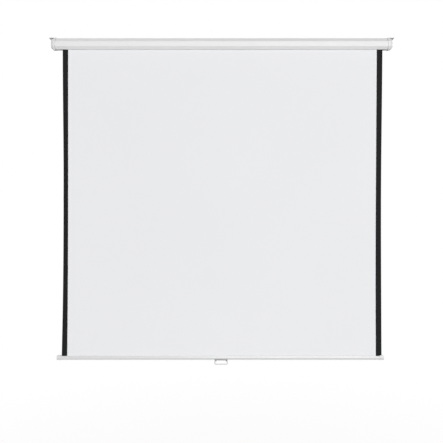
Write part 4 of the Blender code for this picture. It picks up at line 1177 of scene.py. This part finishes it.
class SCREEN_OT_studio(bpy.types.Operator):
    """Sets the pale floor, the soft lamps, the even sky and the camera"""

    bl_idname = "screen.studio"
    bl_label = "Studio"

    def execute(self, context):
        studio = context.scene.screen_studio
        context.scene.view_settings.view_transform = "Standard"
        self.floor(studio)
        self.sky(context, studio)
        self.lamp("front_lamp", (2.9, -17.0, 1.3), (0, 0, -0.75), 6.0, studio.front_power)
        self.lamp("top_lamp", (-0.8, -2.2, 2.6), (0, 0, -0.5), 2.4, studio.top_power)
        self.lamp("back_lamp", (-2.0, 7.0, 6.0), (0, 0, -0.6), 5.0, studio.back_power)
        bpy.ops.object.camera_add(
            location=(-0.001, -2.850, -0.8624), rotation=(math.pi / 2, 0, 0)
        )
        camera = context.object
        camera.name = "camera"
        camera.data.sensor_width = 36
        camera.data.lens = studio.lens
        context.scene.camera = camera
        return {"FINISHED"}

    def floor(self, studio):
        deselect()
        bpy.ops.mesh.primitive_grid_add(
            x_subdivisions=8, y_subdivisions=8, size=16, location=(0, 5, studio.floor_z)
        )
        floor = named("floor")
        finish, tree, shader = new_finish("pale_floor", 0.8)
        cloud = remap(tree, grain(tree, 3, 3), 0.0, 1.0)
        tone = shaded(tree, (0.62, 0.62, 0.62), (0.59, 0.59, 0.59), cloud)
        feed(tree, tone, shader.inputs["Base Color"])
        away = add_node(tree, "VectorMath", Vector=place_on(tree, (1, 1, 0)))
        away.operation = "LENGTH"
        share = remap(tree, away.outputs["Value"], 0.955, 1.0, 1.2, 2.8)
        pale = white_to_camera(tree, shader.outputs["BSDF"], share)
        clear = add_node(tree, "BsdfTransparent").outputs["BSDF"]
        under = add_node(tree, "NewGeometry").outputs["Backfacing"]
        ray = add_node(tree, "LightPath").outputs["Is Camera Ray"]
        surface = mix_shaders(tree, combine(tree, under, ray, "MULTIPLY"), pale, clear)
        feed(tree, surface, tree.nodes["Material Output"].inputs["Surface"])
        floor.data.materials.append(finish)

    def sky(self, context, studio):
        world = bpy.data.worlds.new("even_sky")
        world.use_nodes = True
        tree = world.node_tree
        light = tree.nodes["Background"]
        feed(tree, (1, 1, 1), light.inputs["Color"])
        light.inputs["Strength"].default_value = studio.sky
        seen = white_to_camera(tree, light.outputs["Background"], 1.0)
        feed(tree, seen, tree.nodes["World Output"].inputs["Surface"])
        context.scene.world = world

    def lamp(self, name, place, aim, size, power):
        turn = (Vector(aim) - Vector(place)).to_track_quat("-Z", "Y").to_euler()
        bpy.ops.object.light_add(type="AREA", location=place, rotation=turn)
        lamp = bpy.context.object
        lamp.name = name
        lamp.data.shape = "SQUARE"
        lamp.data.size = size
        lamp.data.energy = power


OPERATORS = (
    SCREEN_OT_case,
    SCREEN_OT_end_caps,
    SCREEN_OT_brackets,
    SCREEN_OT_screws,
    SCREEN_OT_cloth,
    SCREEN_OT_wound_cloth,
    SCREEN_OT_bottom_bar,
    SCREEN_OT_bar_caps,
    SCREEN_OT_pull_handle,
    SCREEN_OT_saddle,
    SCREEN_OT_inner_works,
    SCREEN_OT_studio,
)


class SCREEN_PT_panel(bpy.types.Panel):
    """Sizes, colours and steps of the projector screen."""

    bl_idname = "SCREEN_PT_panel"
    bl_label = "Projector Screen"
    bl_space_type = "VIEW_3D"
    bl_region_type = "UI"
    bl_category = "Projector Screen"

    def draw(self, context):
        for heading in ("Sizes", "Colours", "Studio"):
            group = getattr(context.scene, f"screen_{heading.lower()}")
            box = self.layout.box()
            box.label(text=heading)
            for name in group.__annotations__:
                box.prop(group, name)
        column = self.layout.column()
        for operator in OPERATORS:
            column.operator(operator.bl_idname)


CLASSES = (ScreenSizes, ScreenColours, StudioSettings, *OPERATORS, SCREEN_PT_panel)


def register():
    for cls in CLASSES:
        bpy.utils.register_class(cls)
    bpy.types.Scene.screen_sizes = PointerProperty(type=ScreenSizes)
    bpy.types.Scene.screen_colours = PointerProperty(type=ScreenColours)
    bpy.types.Scene.screen_studio = PointerProperty(type=StudioSettings)


def unregister():
    del bpy.types.Scene.screen_studio
    del bpy.types.Scene.screen_colours
    del bpy.types.Scene.screen_sizes
    for cls in reversed(CLASSES):
        bpy.utils.unregister_class(cls)


def main():
    register()
    for operator in OPERATORS:
        group, step = operator.bl_idname.split(".")
        getattr(getattr(bpy.ops, group), step)()


if __name__ == "__main__":
    main()
